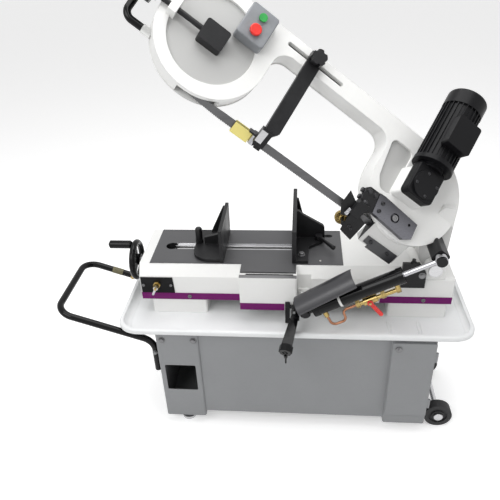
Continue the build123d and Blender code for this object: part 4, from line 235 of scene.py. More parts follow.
class Tree:
    def __init__(self, name):
        self.material = bpy.data.materials.new(name)
        self.material.use_nodes = True
        self.nodes = self.material.node_tree.nodes
        self.links = self.material.node_tree.links
        self.nodes.clear()
        self.out = self.nodes.new("ShaderNodeOutputMaterial")
        self.shader = self.nodes.new("ShaderNodeBsdfPrincipled")
        self.links.new(self.shader.outputs[0], self.out.inputs[0])
        self.where = self.nodes.new("ShaderNodeTexCoord").outputs["Object"]

    def add(self, kind, **inputs):
        node = self.nodes.new(kind)
        for key, value in inputs.items():
            self.feed(node.inputs[key.replace("_", " ")], value)
        return node

    def feed(self, socket, value):
        if isinstance(value, bpy.types.NodeSocket):
            self.links.new(value, socket)
        else:
            socket.default_value = value

    def pair(self, kind, operation, a, b):
        node = self.nodes.new(kind)
        node.operation = operation
        self.feed(node.inputs[0], a)
        self.feed(node.inputs[1], b)
        return node.outputs

    def times(self, a, b):
        return self.pair("ShaderNodeMath", "MULTIPLY", a, b)[0]

    def dot(self, a, b):
        return self.pair("ShaderNodeVectorMath", "DOT_PRODUCT", a, b)["Value"]

    def reach(self, origin, way):
        # metres from the origin along one direction, in the piece's own coordinates
        gone = self.pair("ShaderNodeVectorMath", "SUBTRACT", self.where, origin)
        return self.dot(gone[0], way)

    def noise(self, scale, detail=3.0, rough=0.55, stretch=None, turn=None):
        where = self.where
        if stretch is not None:
            place = self.add("ShaderNodeMapping", Vector=where, Scale=stretch)
            if turn is not None:
                place.inputs["Rotation"].default_value = turn
            where = place.outputs[0]
        grain = self.add("ShaderNodeTexNoise", Vector=where, Scale=scale, Detail=detail, Roughness=rough)
        return grain.outputs[0]

    def ramp(self, factor, stops):
        node = self.nodes.new("ShaderNodeValToRGB")
        self.links.new(factor, node.inputs[0])
        while len(node.color_ramp.elements) < len(stops):
            node.color_ramp.elements.new(0.5)
        for element, (at, colour) in zip(node.color_ramp.elements, stops):
            element.position = at
            element.color = (*colour, 1.0)
        return node.outputs[0]

    def mix(self, factor, under, over):
        # the over colour laid on the under one by the factor; sockets 6 and 7 are the node's colours
        node = self.nodes.new("ShaderNodeMix")
        node.data_type = "RGBA"
        self.feed(node.inputs[0], factor)
        self.feed(node.inputs[6], under)
        self.feed(node.inputs[7], (*over, 1.0))
        return node.outputs[2]

    def spread(self, value, low, high, fromLow=0.3, fromHigh=0.7):
        node = self.add(
            "ShaderNodeMapRange", Value=value, From_Min=fromLow, From_Max=fromHigh, To_Min=low, To_Max=high
        )
        return node.outputs[0]

    def edges(self, radius):
        # rounded normal, and how far it leaves the flat one: near 1 along an edge
        soft = self.nodes.new("ShaderNodeBevel")
        soft.samples = 4
        soft.inputs["Radius"].default_value = radius
        flat = self.nodes.new("ShaderNodeNewGeometry").outputs["Normal"]
        agree = self.dot(soft.outputs[0], flat)
        return soft.outputs[0], self.spread(agree, 1.0, 0.0, fromLow=0.80, fromHigh=0.985)

    def bump(self, height, strength, distance, normal):
        node = self.add(
            "ShaderNodeBump", Height=height, Strength=strength, Distance=distance, Normal=normal
        )
        self.links.new(node.outputs[0], self.shader.inputs["Normal"])

    def set(self, **inputs):
        for key, value in inputs.items():
            self.feed(self.shader.inputs[key.replace("_", " ")], value)


def shade(colour, level):
    return tuple(min(1.0, c * level) for c in colour)


def paint(name, colour, rough, vary=0.06, peel=0.12, peelScale=420.0, edge=0.0012, edgeWearAndHighlightTone=1.12, coat=0.0,
          gleam=0.5, recessShadeLevel=None):
    # enamel: slow tone drift, faint dust, orange peel, edges lighter as thinned paint and painted highlight;
    # below the recess shade level, the faces that look out of the wheel plane are darker as painted shade
    tree = Tree(name)
    slow = tree.noise(scale=5.0, detail=4.0)
    fine = tree.noise(scale=90.0, detail=5.0, rough=0.65)
    tone = tree.ramp(slow, [(0.3, shade(colour, 1 - vary)), (0.7, shade(colour, 1 + vary * 0.5))])
    dust = tree.spread(fine, 0.0, 0.10, fromLow=0.5, fromHigh=0.8)
    tone = tree.mix(dust, tone, shade(colour, 0.78))
    soft, mask = tree.edges(edge)
    # painted highlight on top of thinned paint: the edge mask lightens the edges by the edge tone
    thin = tree.spread(mask, 0.0, 0.55, fromLow=0.0, fromHigh=1.0)
    tone = tree.mix(thin, tone, shade(colour, edgeWearAndHighlightTone))
    if recessShadeLevel is not None:
        # painted shade: the bow casting's recess, below this level and facing out of the wheel plane, is
        # darkened as if in shadow
        facing = tree.nodes.new("ShaderNodeTexCoord").outputs["Normal"]
        step = 0.003
        deep = tree.spread(tree.reach(bladePoint, toward), 1.0, 0.0, fromLow=recessShadeLevel, fromHigh=recessShadeLevel + step)
        flat = tree.spread(tree.dot(facing, toward), 0.0, 1.0, fromLow=0.55, fromHigh=0.95)
        tone = tree.mix(tree.times(deep, flat), tone, shade(colour, 0.55))
    tree.set(Base_Color=tone, Roughness=tree.spread(fine, rough - 0.05, rough + 0.07))
    tree.set(Specular_IOR_Level=gleam)
    if coat:
        tree.set(Coat_Weight=coat, Coat_Roughness=0.12)
    tree.bump(tree.noise(scale=peelScale, detail=2.0), strength=peel, distance=0.0006, normal=soft)
    return tree.material


def castIron(name, colour, rough, rub, gleam):
    # black cast iron: sandy grain, oily blotches, edges lighter grey, partly rubbed bare and partly painted
    # highlight
    tree = Tree(name)
    slow = tree.noise(scale=14.0, detail=5.0, rough=0.6)
    sand = tree.noise(scale=260.0, detail=4.0, rough=0.7)
    tone = tree.ramp(slow, [(0.3, shade(colour, 0.72)), (0.72, shade(colour, 1.35))])
    soft, mask = tree.edges(0.0014)
    patchy = tree.spread(tree.noise(scale=55.0, detail=4.0, rough=0.7), 0.1, 0.85)
    # painted highlight: the edge mask lightens the edges toward a grey that stands for bare rubbed metal and
    # for light catching them
    tone = tree.mix(tree.times(mask, patchy), tone, rub)
    tree.set(Base_Color=tone, Roughness=tree.spread(slow, rough - 0.08, rough + 0.10))
    tree.set(Specular_IOR_Level=gleam)
    tree.bump(sand, strength=0.22, distance=0.0007, normal=soft)
    return tree.material


def metal(name, colour, rough, stretch=(1.0, 1.0, 1.0), turn=None, metallic=1.0, vary=0.12, lines=240.0,
          grain=0.10, fade=None):
    # machined metal: fine lines drawn out along the tool's path, with wider bands behind them; a painted
    # reflection gradient darkens it between two heights in the wheel plane, darker toward the top
    tree = Tree(name)
    line = tree.noise(scale=lines, detail=3.0, rough=0.6, stretch=stretch, turn=turn)
    band = tree.noise(scale=9.0, detail=3.0, rough=0.5)
    tone = tree.ramp(line, [(0.25, shade(colour, 1 - vary)), (0.75, shade(colour, 1 + vary))])
    tone = tree.mix(tree.spread(band, 0.0, 0.35), tone, shade(colour, 0.8))
    soft, mask = tree.edges(0.0008)
    thin = tree.spread(mask, 0.0, 0.5, fromLow=0.0, fromHigh=1.0)
    tone = tree.mix(thin, tone, shade(colour, 1.35))
    # painted reflection: lighter low in the wheel plane and darker higher up, as a reflection of the
    # surroundings would fall
    if fade is not None:
        low, high = fade
        dark = tree.spread(tree.reach(bladePoint, lean), 0.0, 1.0, fromLow=low, fromHigh=high)
        tone = tree.mix(dark, tone, shade(colour, 0.35))
    tree.set(Base_Color=tone, Roughness=tree.spread(line, rough - 0.07, rough + 0.10), Metallic=metallic)
    tree.bump(line, strength=grain, distance=0.0003, normal=soft)
    return tree.material


def moulded(name, colour, rough, grain=0.14, scale=700.0, gleam=0.5):
    # moulded plastic or rubber: fine spark grain, tone a little paler on the edges
    tree = Tree(name)
    spark = tree.noise(scale=scale, detail=2.0, rough=0.5)
    slow = tree.noise(scale=18.0, detail=3.0)
    tone = tree.ramp(slow, [(0.3, shade(colour, 0.85)), (0.7, shade(colour, 1.2))])
    soft, mask = tree.edges(0.0010)
    pale = tree.spread(mask, 0.0, 0.4, fromLow=0.0, fromHigh=1.0)
    tone = tree.mix(pale, tone, shade(colour, 1.9))
    tree.set(Base_Color=tone, Roughness=tree.spread(slow, rough - 0.05, rough + 0.08))
    tree.set(Specular_IOR_Level=gleam)
    tree.bump(spark, strength=grain, distance=0.0004, normal=soft)
    return tree.material


casting = {"colour": (0.86, 0.86, 0.845), "rough": 0.34, "vary": 0.03, "peel": 0.08, "peelScale": 160.0,
           "edge": 0.0030, "edgeWearAndHighlightTone": 1.04, "coat": 0.12}
paints = {
    "castingWhite": casting,
    "bowWhite": {**casting, "recessShadeLevel": 0.0375},
    "trayGrey": {"colour": (0.82, 0.83, 0.835), "rough": 0.36, "vary": 0.04, "peel": 0.10,
                 "peelScale": 380.0, "edge": 0.0020, "edgeWearAndHighlightTone": 1.08},
    "standGrey": {"colour": (0.258, 0.264, 0.272), "rough": 0.42, "vary": 0.05, "peel": 0.16,
                  "edgeWearAndHighlightTone": 1.25},
    "stripePurple": {"colour": (0.165, 0.006, 0.130), "rough": 0.34, "peel": 0.06, "peelScale": 500.0,
                     "edge": 0.0006, "edgeWearAndHighlightTone": 1.25, "gleam": 0.2},
    "blackGloss": {"colour": (0.003, 0.003, 0.0035), "rough": 0.10, "vary": 0.15, "peel": 0.03,
                   "peelScale": 350.0, "edgeWearAndHighlightTone": 2.2, "gleam": 0.20},
    "blackSatin": {"colour": (0.007, 0.007, 0.008), "rough": 0.34, "vary": 0.15, "peelScale": 300.0,
                   "edgeWearAndHighlightTone": 2.6, "gleam": 0.13},
    "guardBlack": {"colour": (0.028, 0.028, 0.032), "rough": 0.33, "vary": 0.12, "peel": 0.08,
                   "peelScale": 350.0, "edge": 0.0008, "edgeWearAndHighlightTone": 2.4, "gleam": 0.60},
    "guardYellow": {"colour": (0.85, 0.74, 0.24), "rough": 0.40, "peelScale": 400.0, "edge": 0.0008,
                    "edgeWearAndHighlightTone": 1.1},
}
irons = {
    "castBlack": {"colour": (0.013, 0.013, 0.014), "rough": 0.40, "rub": (0.10, 0.10, 0.104), "gleam": 0.2},
}
bowTurn = (0.0, bowShape["raise"], 0.0)
metals = {
    "tableGrey": {"colour": (0.100, 0.100, 0.104), "rough": 0.46, "stretch": (0.02, 1.0, 0.3),
                  "metallic": 0.55, "vary": 0.14, "lines": 320.0},
    "wheelIron": {"colour": (0.30, 0.30, 0.31), "rough": 0.40, "metallic": 0.9, "vary": 0.10},
    "groundSteel": {"colour": (0.56, 0.56, 0.57), "rough": 0.28, "stretch": (0.03, 1.0, 1.0), "vary": 0.10},
    "barSteel": {"colour": (0.135, 0.135, 0.150), "rough": 0.33, "stretch": (0.05, 1.0, 1.0),
                 "turn": bowTurn, "metallic": 0.85, "vary": 0.18, "fade": (0.020, 0.085)},
    "bladeSteel": {"colour": (0.125, 0.125, 0.128), "rough": 0.38, "stretch": (0.02, 1.0, 1.0),
                   "turn": bowTurn, "metallic": 0.9, "vary": 0.16},
    "chromeBright": {"colour": (0.46, 0.46, 0.48), "rough": 0.12, "vary": 0.02, "grain": 0.01},
    "brassTurned": {"colour": (0.42, 0.31, 0.12), "rough": 0.27},
    "copperDrawn": {"colour": (0.36, 0.17, 0.10), "rough": 0.28, "stretch": (0.1, 1.0, 1.0), "vary": 0.10},
    "zincScrew": {"colour": (0.48, 0.47, 0.45), "rough": 0.30},
    "boltGrey": {"colour": (0.20, 0.20, 0.205), "rough": 0.36, "metallic": 0.7},
    "stripSteel": {"colour": (0.23, 0.23, 0.235), "rough": 0.34, "stretch": (0.03, 1.0, 1.0),
                   "metallic": 0.9},
    "screwBlack": {"colour": (0.025, 0.025, 0.028), "rough": 0.32, "metallic": 0.4, "vary": 0.2},
}
plastics = {
    "plasticBlack": {"colour": (0.010, 0.010, 0.011), "rough": 0.34, "grain": 0.10, "gleam": 0.3},
    "rubberBlack": {"colour": (0.024, 0.024, 0.025), "rough": 0.72, "grain": 0.25, "scale": 350.0},
    "switchGrey": {"colour": (0.22, 0.23, 0.245), "rough": 0.46},
    "redGloss": {"colour": (0.72, 0.022, 0.014), "rough": 0.28, "grain": 0.05},
    "greenGloss": {"colour": (0.015, 0.30, 0.050), "rough": 0.30, "grain": 0.05},
    "tapeBeige": {"colour": (0.125, 0.112, 0.055), "rough": 0.50, "grain": 0.3, "scale": 260.0},
}
finishes = {}
for maker, looks in ((paint, paints), (castIron, irons), (metal, metals), (moulded, plastics)):
    for name, look in looks.items():
        finishes[name] = maker(name, **look)
print("finishes made:", len(finishes))

nodeFinish = {
    "castingWhite": ["base_feet", "base_casting", "rear_cover", "cylinder_bracket"],
    "bowWhite": ["bow_casting"],
    "trayGrey": ["chip_tray"],
    "standGrey": ["stand_left_leg", "stand_right_leg", "stand_panels", "stand_door"],
    "stripePurple": ["trim_stripes"],
    "blackGloss": [
        "transport_handle", "handwheel", "clamp_lever", "hydraulic_cylinder", "bow_handle", "crank_grip",
    ],
    "blackSatin": ["gearbox", "motor", "tap_plate"],
    "guardBlack": ["cylinder_guard", "guard_plate"],
    "guardYellow": ["arm_guard"],
    "castBlack": [
        "movable_jaw", "fixed_jaw", "lever_fork", "bow_stop", "tension_slide", "fixed_guide",
        "brush_bracket", "guide_arm", "rod_bracket",
    ],
    "tableGrey": ["vise_table"],
    "wheelIron": ["drive_wheel", "idler_wheel"],
    "groundSteel": ["levelling_feet", "roller_axle", "lead_screw", "pivot_shaft"],
    "barSteel": ["guide_bar"],
    "boltGrey": ["door_lock"],
    "bladeSteel": ["saw_blade"],
    "chromeBright": ["piston_rod", "tap_lever"],
    "brassTurned": ["feed_valve", "wire_brush", "coolant_tap"],
    "copperDrawn": ["oil_pipe"],
    "plasticBlack": [
        "jaw_clamp", "swivel_clamp_rear", "swivel_clamp_front", "tension_knob", "arm_knob",
    ],
    "rubberBlack": ["roller_front", "roller_back"],
    "switchGrey": ["switch_box"],
    "redGloss": ["valve_lever", "stop_button"],
    "greenGloss": ["start_button"],
}
for finish, names in nodeFinish.items():
    for name in names:
        mesh = nodes[name].data
        mesh.materials.clear()
        mesh.materials.append(finishes[finish])
missed = sorted(set(nodes) - {n for names in nodeFinish.values() for n in names})
print("nodes finished, without a finish:", missed)


# saw blade: the loop's middle line by its runs, with the width turned from upright to the wheel axis
blade = {
    "body": "bow", "slot": "blade_steel", "finish": "bladeSteel",
    "pitch": 0.006, "depth": 0.0026, "gum": 1.5, "width": 0.027, "thick": 0.0009, "set": 0.00018,
    "leadIn": 0.014, "upright": (-0.395, 0.104), "runSteps": 160, "sharp": 25.0,
    "toothAt": (0.0, 0.36, 0.72, 0.86), "toothCut": (0.0, 0.55, 1.0, 0.75), "toothSet": (1.0, 0.3, 0.0, 0.2),
}


def bladeLine():
    # straight runs, in which the turn of the width may change evenly, and half circles round both wheels
    r, lead = bowShape["bladeR"], blade["leadIn"]
    drive, idler = bowShape["driveAlong"], idlerAlong
    left, right = blade["upright"]
    turn = pi / 2 - bowShape["tilt"]
    steps = np.linspace(0, 1, blade["runSteps"], endpoint=False)
    runs = []

    def straight(fromX, toX, height, fromTurn, toTurn):
        x = fromX + (toX - fromX) * steps
        runs.append(np.stack([x, steps * 0 + height, fromTurn + (toTurn - fromTurn) * steps]))

    def half(centre, start):
        arc = start - pi * steps
        runs.append(np.stack([centre + r * np.cos(arc), r + r * np.sin(arc), steps * 0 + turn]))

    straight(right, left, 0.0, 0.0, 0.0)
    straight(left, idler + 2 * lead, 0.0, 0.0, turn)
    straight(idler + 2 * lead, idler, 0.0, turn, turn)
    half(idler, -pi / 2)
    straight(idler, drive, 2 * r, turn, turn)
    half(drive, pi / 2)
    straight(drive, drive - lead, 0.0, turn, turn)
    straight(drive - lead, right, 0.0, turn, 0.0)
    line = np.concatenate(runs, axis=1)
    x, m, phi = np.concatenate([line, line[:, :1]], axis=1)
    middle = bladePoint + x[:, None] * along + m[:, None] * lean
    length = np.concatenate([[0], np.cumsum(np.linalg.norm(np.diff(middle, axis=0), axis=1))])
    teeth = round(length[-1] / blade["pitch"])
    number = np.arange(teeth)
    at = (number[:, None] + np.array(blade["toothAt"])).reshape(-1) / teeth * length[-1]
    cut = np.tile(np.array(blade["toothCut"]), teeth) * blade["depth"]
    sign = np.repeat(1 - 2 * (number % 2), len(blade["toothAt"]))
    tip = np.tile(np.array(blade["toothSet"]), teeth) * sign * blade["set"]
    middle = np.stack([np.interp(at, length, middle[:, k]) for k in range(3)], -1)
    return middle, np.interp(at, length, phi), cut, tip


def makeBlade():
    # grid of loop position by six outline points: tooth edge, gum line and back on each face
    middle, phi, cut, tip = bladeLine()
    wide = np.cos(phi)[:, None] * upright - np.sin(phi)[:, None] * back
    run = np.roll(middle, -1, 0) - np.roll(middle, 1, 0)
    run = run / np.linalg.norm(run, axis=1)[:, None]
    face = np.cross(run, wide)
    half, t = blade["width"] / 2, blade["thick"] / 2
    low = middle + (-half + cut)[:, None] * wide + tip[:, None] * face
    gum = middle + (-half + blade["depth"] * blade["gum"]) * wide
    top = middle + half * wide
    outline = [line + t * face for line in (low, gum, top)] + [line - t * face for line in (top, gum, low)]
    return np.stack(outline, 1), gridFaces(len(middle), len(outline), closeRows=True, closeCols=True)


piece = addFrom("bladeLoop", makeBlade(), blade, blade["sharp"])
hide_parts("saw_blade")
print("blade made:", len(piece.data.polygons), "faces")


# wire brush: crimped strands in rings round a hub, in millimetres
brush = {
    "body": "wire_brush", "slot": "brass", "finish": "brassTurned", "at": (78.0, -37.0, 0.0), "seed": 4,
    "rings": 12, "strands": 130, "hub": 9.0, "root": 1.0, "reach": 22.4, "uneven": 1.3, "half": 7.6,
    "flare": 0.08, "turnJitter": 0.3, "sideJitter": 0.4, "wire": 0.24, "corners": 3, "points": 6,
    "crimp": 0.35, "waves": 9.0, "phase": 6.0, "hubSides": 40,
    "hubRows": [(4.2, 9.0), (8.2, 9.0), (9.2, 8.2), (9.2, -8.2), (8.2, -9.0), (4.2, -9.0), (4.05, -8.6),
                (4.05, 8.6), (4.2, 9.0)],
}


def makeBrush():
    # strand = straight radial line plus a small sine wave sideways, carried by a three-sided wire
    rng = np.random.default_rng(brush["seed"])
    rings, strands = np.arange(brush["rings"]), np.arange(brush["strands"])
    ring, number = (v.reshape(-1) for v in np.meshgrid(rings, strands, indexing="ij"))
    count, jitter, shift = number.size, brush["turnJitter"], brush["sideJitter"]
    turn = (number + rng.uniform(-jitter, jitter, count) + 0.5 * (ring % 2)) * 2 * pi / brush["strands"]
    y = brush["half"] * (1 - 2 * ring / (brush["rings"] - 1)) + rng.uniform(-shift, shift, count)
    tip = brush["reach"] - rng.uniform(0.0, brush["uneven"], count)
    root = brush["hub"] - brush["root"]
    t = np.linspace(0, 1, brush["points"])
    r = root + t[None] * (tip - root)[:, None]
    phase = rng.uniform(0, brush["phase"], count)
    wave = brush["crimp"] * np.sin(t[None] * brush["waves"] + phase[:, None]) * t[None]
    out = np.cos(turn)[:, None] * along + np.sin(turn)[:, None] * upright
    side = -np.sin(turn)[:, None] * along + np.cos(turn)[:, None] * upright
    flared = y[:, None] * (1 + brush["flare"] * t)
    offset = r[..., None] * out[:, None] + wave[..., None] * side[:, None] + flared[..., None] * back
    middle = onBlade(*brush["at"]) + offset / perMetre
    corner = np.arange(brush["corners"]) * 2 * pi / brush["corners"]
    backShape = np.cos(corner)[:, None] * back * brush["wire"] / perMetre
    sideShape = np.sin(corner)[:, None] * brush["wire"] / perMetre
    points = middle[:, :, None] + backShape[None, None] + sideShape[None, None] * side[:, None, None]
    each = brush["points"] * brush["corners"]
    first = (np.arange(count) * each)[:, None, None]
    sides = first + gridFaces(brush["points"], brush["corners"], closeCols=True)[None]
    caps = first + np.array([[0, 2, 1], [each - 3, each - 2, each - 1]])[None]
    return points.reshape(-1, 3), sides.reshape(-1, 4).tolist() + caps.reshape(-1, 3).tolist()


def addStrands(name, points, faces):
    # the wires stay separate closed prisms, so nothing is merged
    mesh = bpy.data.meshes.new(name)
    mesh.from_pydata(points.tolist(), [], faces)
    return linkPiece(name, mesh, brush["body"], brush["finish"])


piece = addStrands("brushStrands", *makeBrush())
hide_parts("wire_brush")
addFrom("brushHub", turned(brush["hubRows"], onBlade(*brush["at"]), back, brush["hubSides"]), brush)
print("brush made")


# handle: a dark brown band round its far arm, a ring carried along the arm and a little thinner at some rows
handle = {
    "body": "stand", "slot": "guard_yellow", "finish": "tapeBeige",
    "x": -482.0, "far": 197.0, "low": -251.0, "end": -815.0, "rise": -131.0,
    "tape": (0.575, 0.692), "tapeR": 12.7, "sides": 40, "nut": 0.455, "nutOut": 11.5,
    "bandScale": (0.96, 1.0, 1.0, 0.985, 1.0, 1.0, 0.985, 1.0, 1.0, 0.985, 1.0, 0.96),
}


def onFarArm(t):
    x = handle["x"] + (handle["end"] - handle["x"]) * t
    return onStand(x, handle["far"], handle["low"] + (handle["rise"] - handle["low"]) * t)


def makeFarArmBand():
    turn = np.arange(handle["sides"]) * 2 * pi / handle["sides"]
    ring = np.stack([np.cos(turn), np.sin(turn)], -1) * handle["tapeR"] / perMetre
    path = [onFarArm(t) for t in np.linspace(*handle["tape"], len(handle["bandScale"]))]
    return carried(path, ring, back, handle["bandScale"])


addFrom("farArmBand", makeFarArmBand(), handle)

# screws and bolts, by the body that they ride on: place, direction, and the head's radius and height
headSizes = {
    "stripe": (7.0, 4.5), "plate": (5.2, 3.5), "leg": (8.5, 8.0), "bar": (6.5, 4.5), "shield": (5.0, 4.0),
    "barEnd": (6.2, 4.0), "barBolt": (9.8, 2.6), "long": (7.2, 11.0), "short": (7.2, 10.0),
    "guide": (6.6, 6.0), "cover": (5.0, 3.2), "handle": (6.2, 6.0), "jaw": (8.5, 10.0), "rod": (7.5, 6.0),
    "cap": (9.5, 8.0), "table": (4.2, 2.8),
}
gearCover = {"at": (200.0, 150.75, 133.0), "r": 34.5, "turns": (18.0, 108.0, 198.0, 288.0)}


def onGearCover(turn):
    x, m, face = gearCover["at"]
    return onWheels(x + gearCover["r"] * cos(turn), m + gearCover["r"] * sin(turn), face)


screwSets = {
    "standSocketScrews": ("socket", "stand", "steel", "boltGrey", [
        (onStand(-358.5, -32.5, -121.5), front, "stripe"), (onStand(445.4, -32.5, -121.0), front, "stripe"),
        (onStand(-519.0, -34.0, -76.0), front, "plate"), (onStand(-421.5, -34.0, -75.0), front, "plate"),
    ]),
    "legBolts": ("hexagon", "stand", "steel", "boltGrey", [
        (onStand(-448.0, -150.0, -225.0), front, "leg"), (onStand(-337.0, -150.0, -225.0), front, "leg"),
    ]),
    "bowScrews": ("socket", "bow", "jaw_black", "screwBlack", [
        (onBlade(196.6, -39.0, -24.0), front, "bar"), (onBlade(264.0, -39.0, -24.0), front, "bar"),
        (onBlade(100.0, -32.0, -36.0), front, "shield"), (onBlade(111.0, -36.5, -36.0), front, "shield"),
        (onWheels(140.0, 53.0, 60.0), toward, "barEnd"), (onWheels(140.0, 26.0, 60.0), toward, "barEnd"),
    ]),
    "barBolt": ("socket", "bow", "steel", "boltGrey", [(onWheels(197.0, 38.0, 60.0), toward, "barBolt")]),
    "guideBolts": ("hexagon", "bow", "jaw_black", "screwBlack", [
        (onWheels(70.2, 54.0, 51.0), -along, "long"), (onWheels(70.2, 31.0, 51.0), -along, "short"),
        (onWheels(84.0, 60.0, 57.8), toward, "guide"), (onWheels(107.0, 60.0, 57.8), toward, "guide"),
    ]),
    "coverScrews": ("dome", "bow", "black_paint", "screwBlack", [
        (onGearCover(turn), toward, "cover") for turn in np.radians(gearCover["turns"])
    ]),
    "handleNut": ("hexagon", "stand", "brass", "brassTurned", [
        (onFarArm(handle["nut"]) + front * handle["nutOut"] / perMetre, front, "handle"),
    ]),
    "handleBolt": ("hexagon", "stand", "steel", "boltGrey", [
        (onStand(-482.0, -138.6, -294.0), front, "handle"),
    ]),
    "jawBolt": ("hexagon", "fixed_jaw", "steel", "boltGrey", [(onStand(32.0, 37.7, 12.0), upWay, "jaw")]),
    "rodBolt": ("hexagon", "bow", "steel", "boltGrey", [(onBlade(392.0, -20.6, -50.0), front, "rod")]),
    "guideDome": ("dome", "bow", "jaw_black", "screwBlack", [(onBlade(85.0, 58.0, -37.0), upright, "cap")]),
    "tableScrew": ("dome", "stand", "steel", "zincScrew", [(onStand(96.2, 18.4, 0.0), upWay, "table")]),
}
for name, (kind, body, slot, finish, heads) in screwSets.items():
    grids = [screwHead(kind, place, axis, headSizes[size]) for place, axis, size in heads]
    addPiece(name, *joinGrids(grids), body, slot, finish)
print("screws made")


# tray cove: a hollow quarter round carried round the foot of the tray's walls, wider at the left end
cove = {
    "body": "stand", "slot": "tray_grey", "finish": "trayGrey",
    "left": -587.0, "right": 593.0, "front": -152.0, "rear": 249.0, "corner": 57.0, "floor": -195.0,
    "r": 16.0, "more": 6.5, "moreFrom": -520.0, "moreOver": 60.0, "sunk": 0.02, "steps": 24, "arcSteps": 9,
}


def makeCove():
    t = np.linspace(0, 1, cove["steps"], endpoint=False)
    c, flat = cove["corner"], []
    corners = [(cove["right"] - c, cove["front"] + c, -90), (cove["right"] - c, cove["rear"] - c, 0),
               (cove["left"] + c, cove["rear"] - c, 90), (cove["left"] + c, cove["front"] + c, 180)]

    def onCorner(k, part):
        # points of one corner's quarter circle, by their part of its turn
        x, y, start = corners[k % len(corners)]
        a = np.radians(start + 90.0 * np.asarray(part, float))
        return np.stack([x + c * np.cos(a), y + c * np.sin(a)], -1)

    for k in range(len(corners)):
        first, last = onCorner(k, 1.0), onCorner(k + 1, 0.0)
        flat += [onCorner(k, t), first + (last - first) * t[:, None]]
    flat = np.concatenate(flat)
    path = onStand(0.0, 0.0, cove["floor"]) + np.concatenate([flat, 0 * flat[:, :1]], 1) / perMetre
    wider = np.clip((cove["moreFrom"] - flat[:, 0]) / cove["moreOver"], 0.0, 1.0)
    a = np.linspace(0, pi / 2, cove["arcSteps"])
    arc = np.stack([1 - np.sin(a), 1 - np.cos(a)], -1)
    sunk = -cove["sunk"]
    profile = np.concatenate([[(sunk, sunk), (1.0, sunk)], arc, [(sunk, 1.0)]]) * [-1, 1]
    return carried(path, profile, upWay, (cove["r"] + cove["more"] * wider) / perMetre, True)


addFrom("trayCove", makeCove(), cove)

# straight strips: the left end of the block's stripe, the steel lining of the block's top and of the slots,
# and the skirt of the fixed guide; each has its two ends along x, the rest of its place, and its section
slotEnds = (-423.0, -3.0)
slotSteel = {"body": "stand", "slot": "steel", "finish": "groundSteel", "on": onStand, "up": upWay,
             "soft": 0.1}
blockSteel = {**slotSteel, "finish": "stripSteel"}
strips = {
    "stripeEnd": {"body": "stand", "slot": "stripe_purple", "finish": "stripePurple", "on": onStand,
                  "up": upWay, "ends": (-175.4, -169.95), "rest": (-83.72, -122.5), "wide": 1.5,
                  "high": 27.0, "soft": 0.2},
    "blockStrip": {**blockSteel, "ends": (-175.0, 17.0), "rest": (-74.0, -5.05), "wide": 16.0, "high": 2.1,
                   "soft": 0.4},
    "slotLining": {**blockSteel, "ends": (-158.0, 5.0), "rest": (-56.7, -13.0), "wide": 0.6, "high": 14.0},
    "recessFront": {**slotSteel, "ends": slotEnds, "rest": (93.5, -4.9), "wide": 12.4, "high": 0.4},
    "recessRear": {**slotSteel, "ends": slotEnds, "rest": (120.4, -4.9), "wide": 12.6, "high": 0.4},
    "recessWall": {**slotSteel, "ends": slotEnds, "rest": (126.8, -2.5), "wide": 0.4, "high": 4.6},
    "slotWall": {**slotSteel, "ends": slotEnds, "rest": (113.8, -9.4), "wide": 0.4, "high": 8.6},
    "guideSkirt": {"body": "bow", "slot": "jaw_black", "finish": "castBlack", "on": onBlade, "up": upright,
                   "ends": (80.5, 100.0), "rest": (-16.5, -24.6), "wide": 2.8, "high": 10.5, "soft": 0.4},
}
for name, strip in strips.items():
    start, stop = (strip["on"](end, *strip["rest"]) for end in strip["ends"])
    addFrom(name, bar(start, stop, strip["up"], strip["wide"], strip["high"], strip["soft"]), strip)

# flat plate on the sliding guide, a bar that stands on its narrow end
guidePlate = {"body": "guide_arm", "slot": "steel", "finish": "groundSteel", "x": -281.5, "low": 18.0,
              "top": 56.5, "y": -52.3, "wide": 20.5, "thick": 1.0, "soft": 0.2}
foot, head = (onBlade(guidePlate["x"], guidePlate[end], guidePlate["y"]) for end in ("low", "top"))
plate = bar(foot, head, back, guidePlate["wide"], guidePlate["thick"], guidePlate["soft"])
addFrom("guidePlate", plate, guidePlate)

# painted shade in the table's keyhole: a thin black upright strip carried round an open circle, standing for
# the shadow inside the hole
keyhole = {
    "body": "stand", "slot": "black_paint", "finish": "castBlack", "at": (-436.0, 107.0, -23.0), "r": 21.75,
    "from": radians(24.0), "to": radians(336.0), "steps": 60, "thick": 0.4, "high": 44.0, "soft": 0.1,
}


def makeKeyholeShade():
    turn = np.linspace(keyhole["from"], keyhole["to"], keyhole["steps"])
    circle = np.cos(turn)[:, None] * rightWay + np.sin(turn)[:, None] * back
    path = onStand(*keyhole["at"]) + keyhole["r"] / perMetre * circle
    section = softBox(keyhole["thick"], keyhole["high"], keyhole["soft"]) / perMetre
    return carried(path, section, upWay)


addFrom("keyholeShadeWall", makeKeyholeShade(), keyhole)

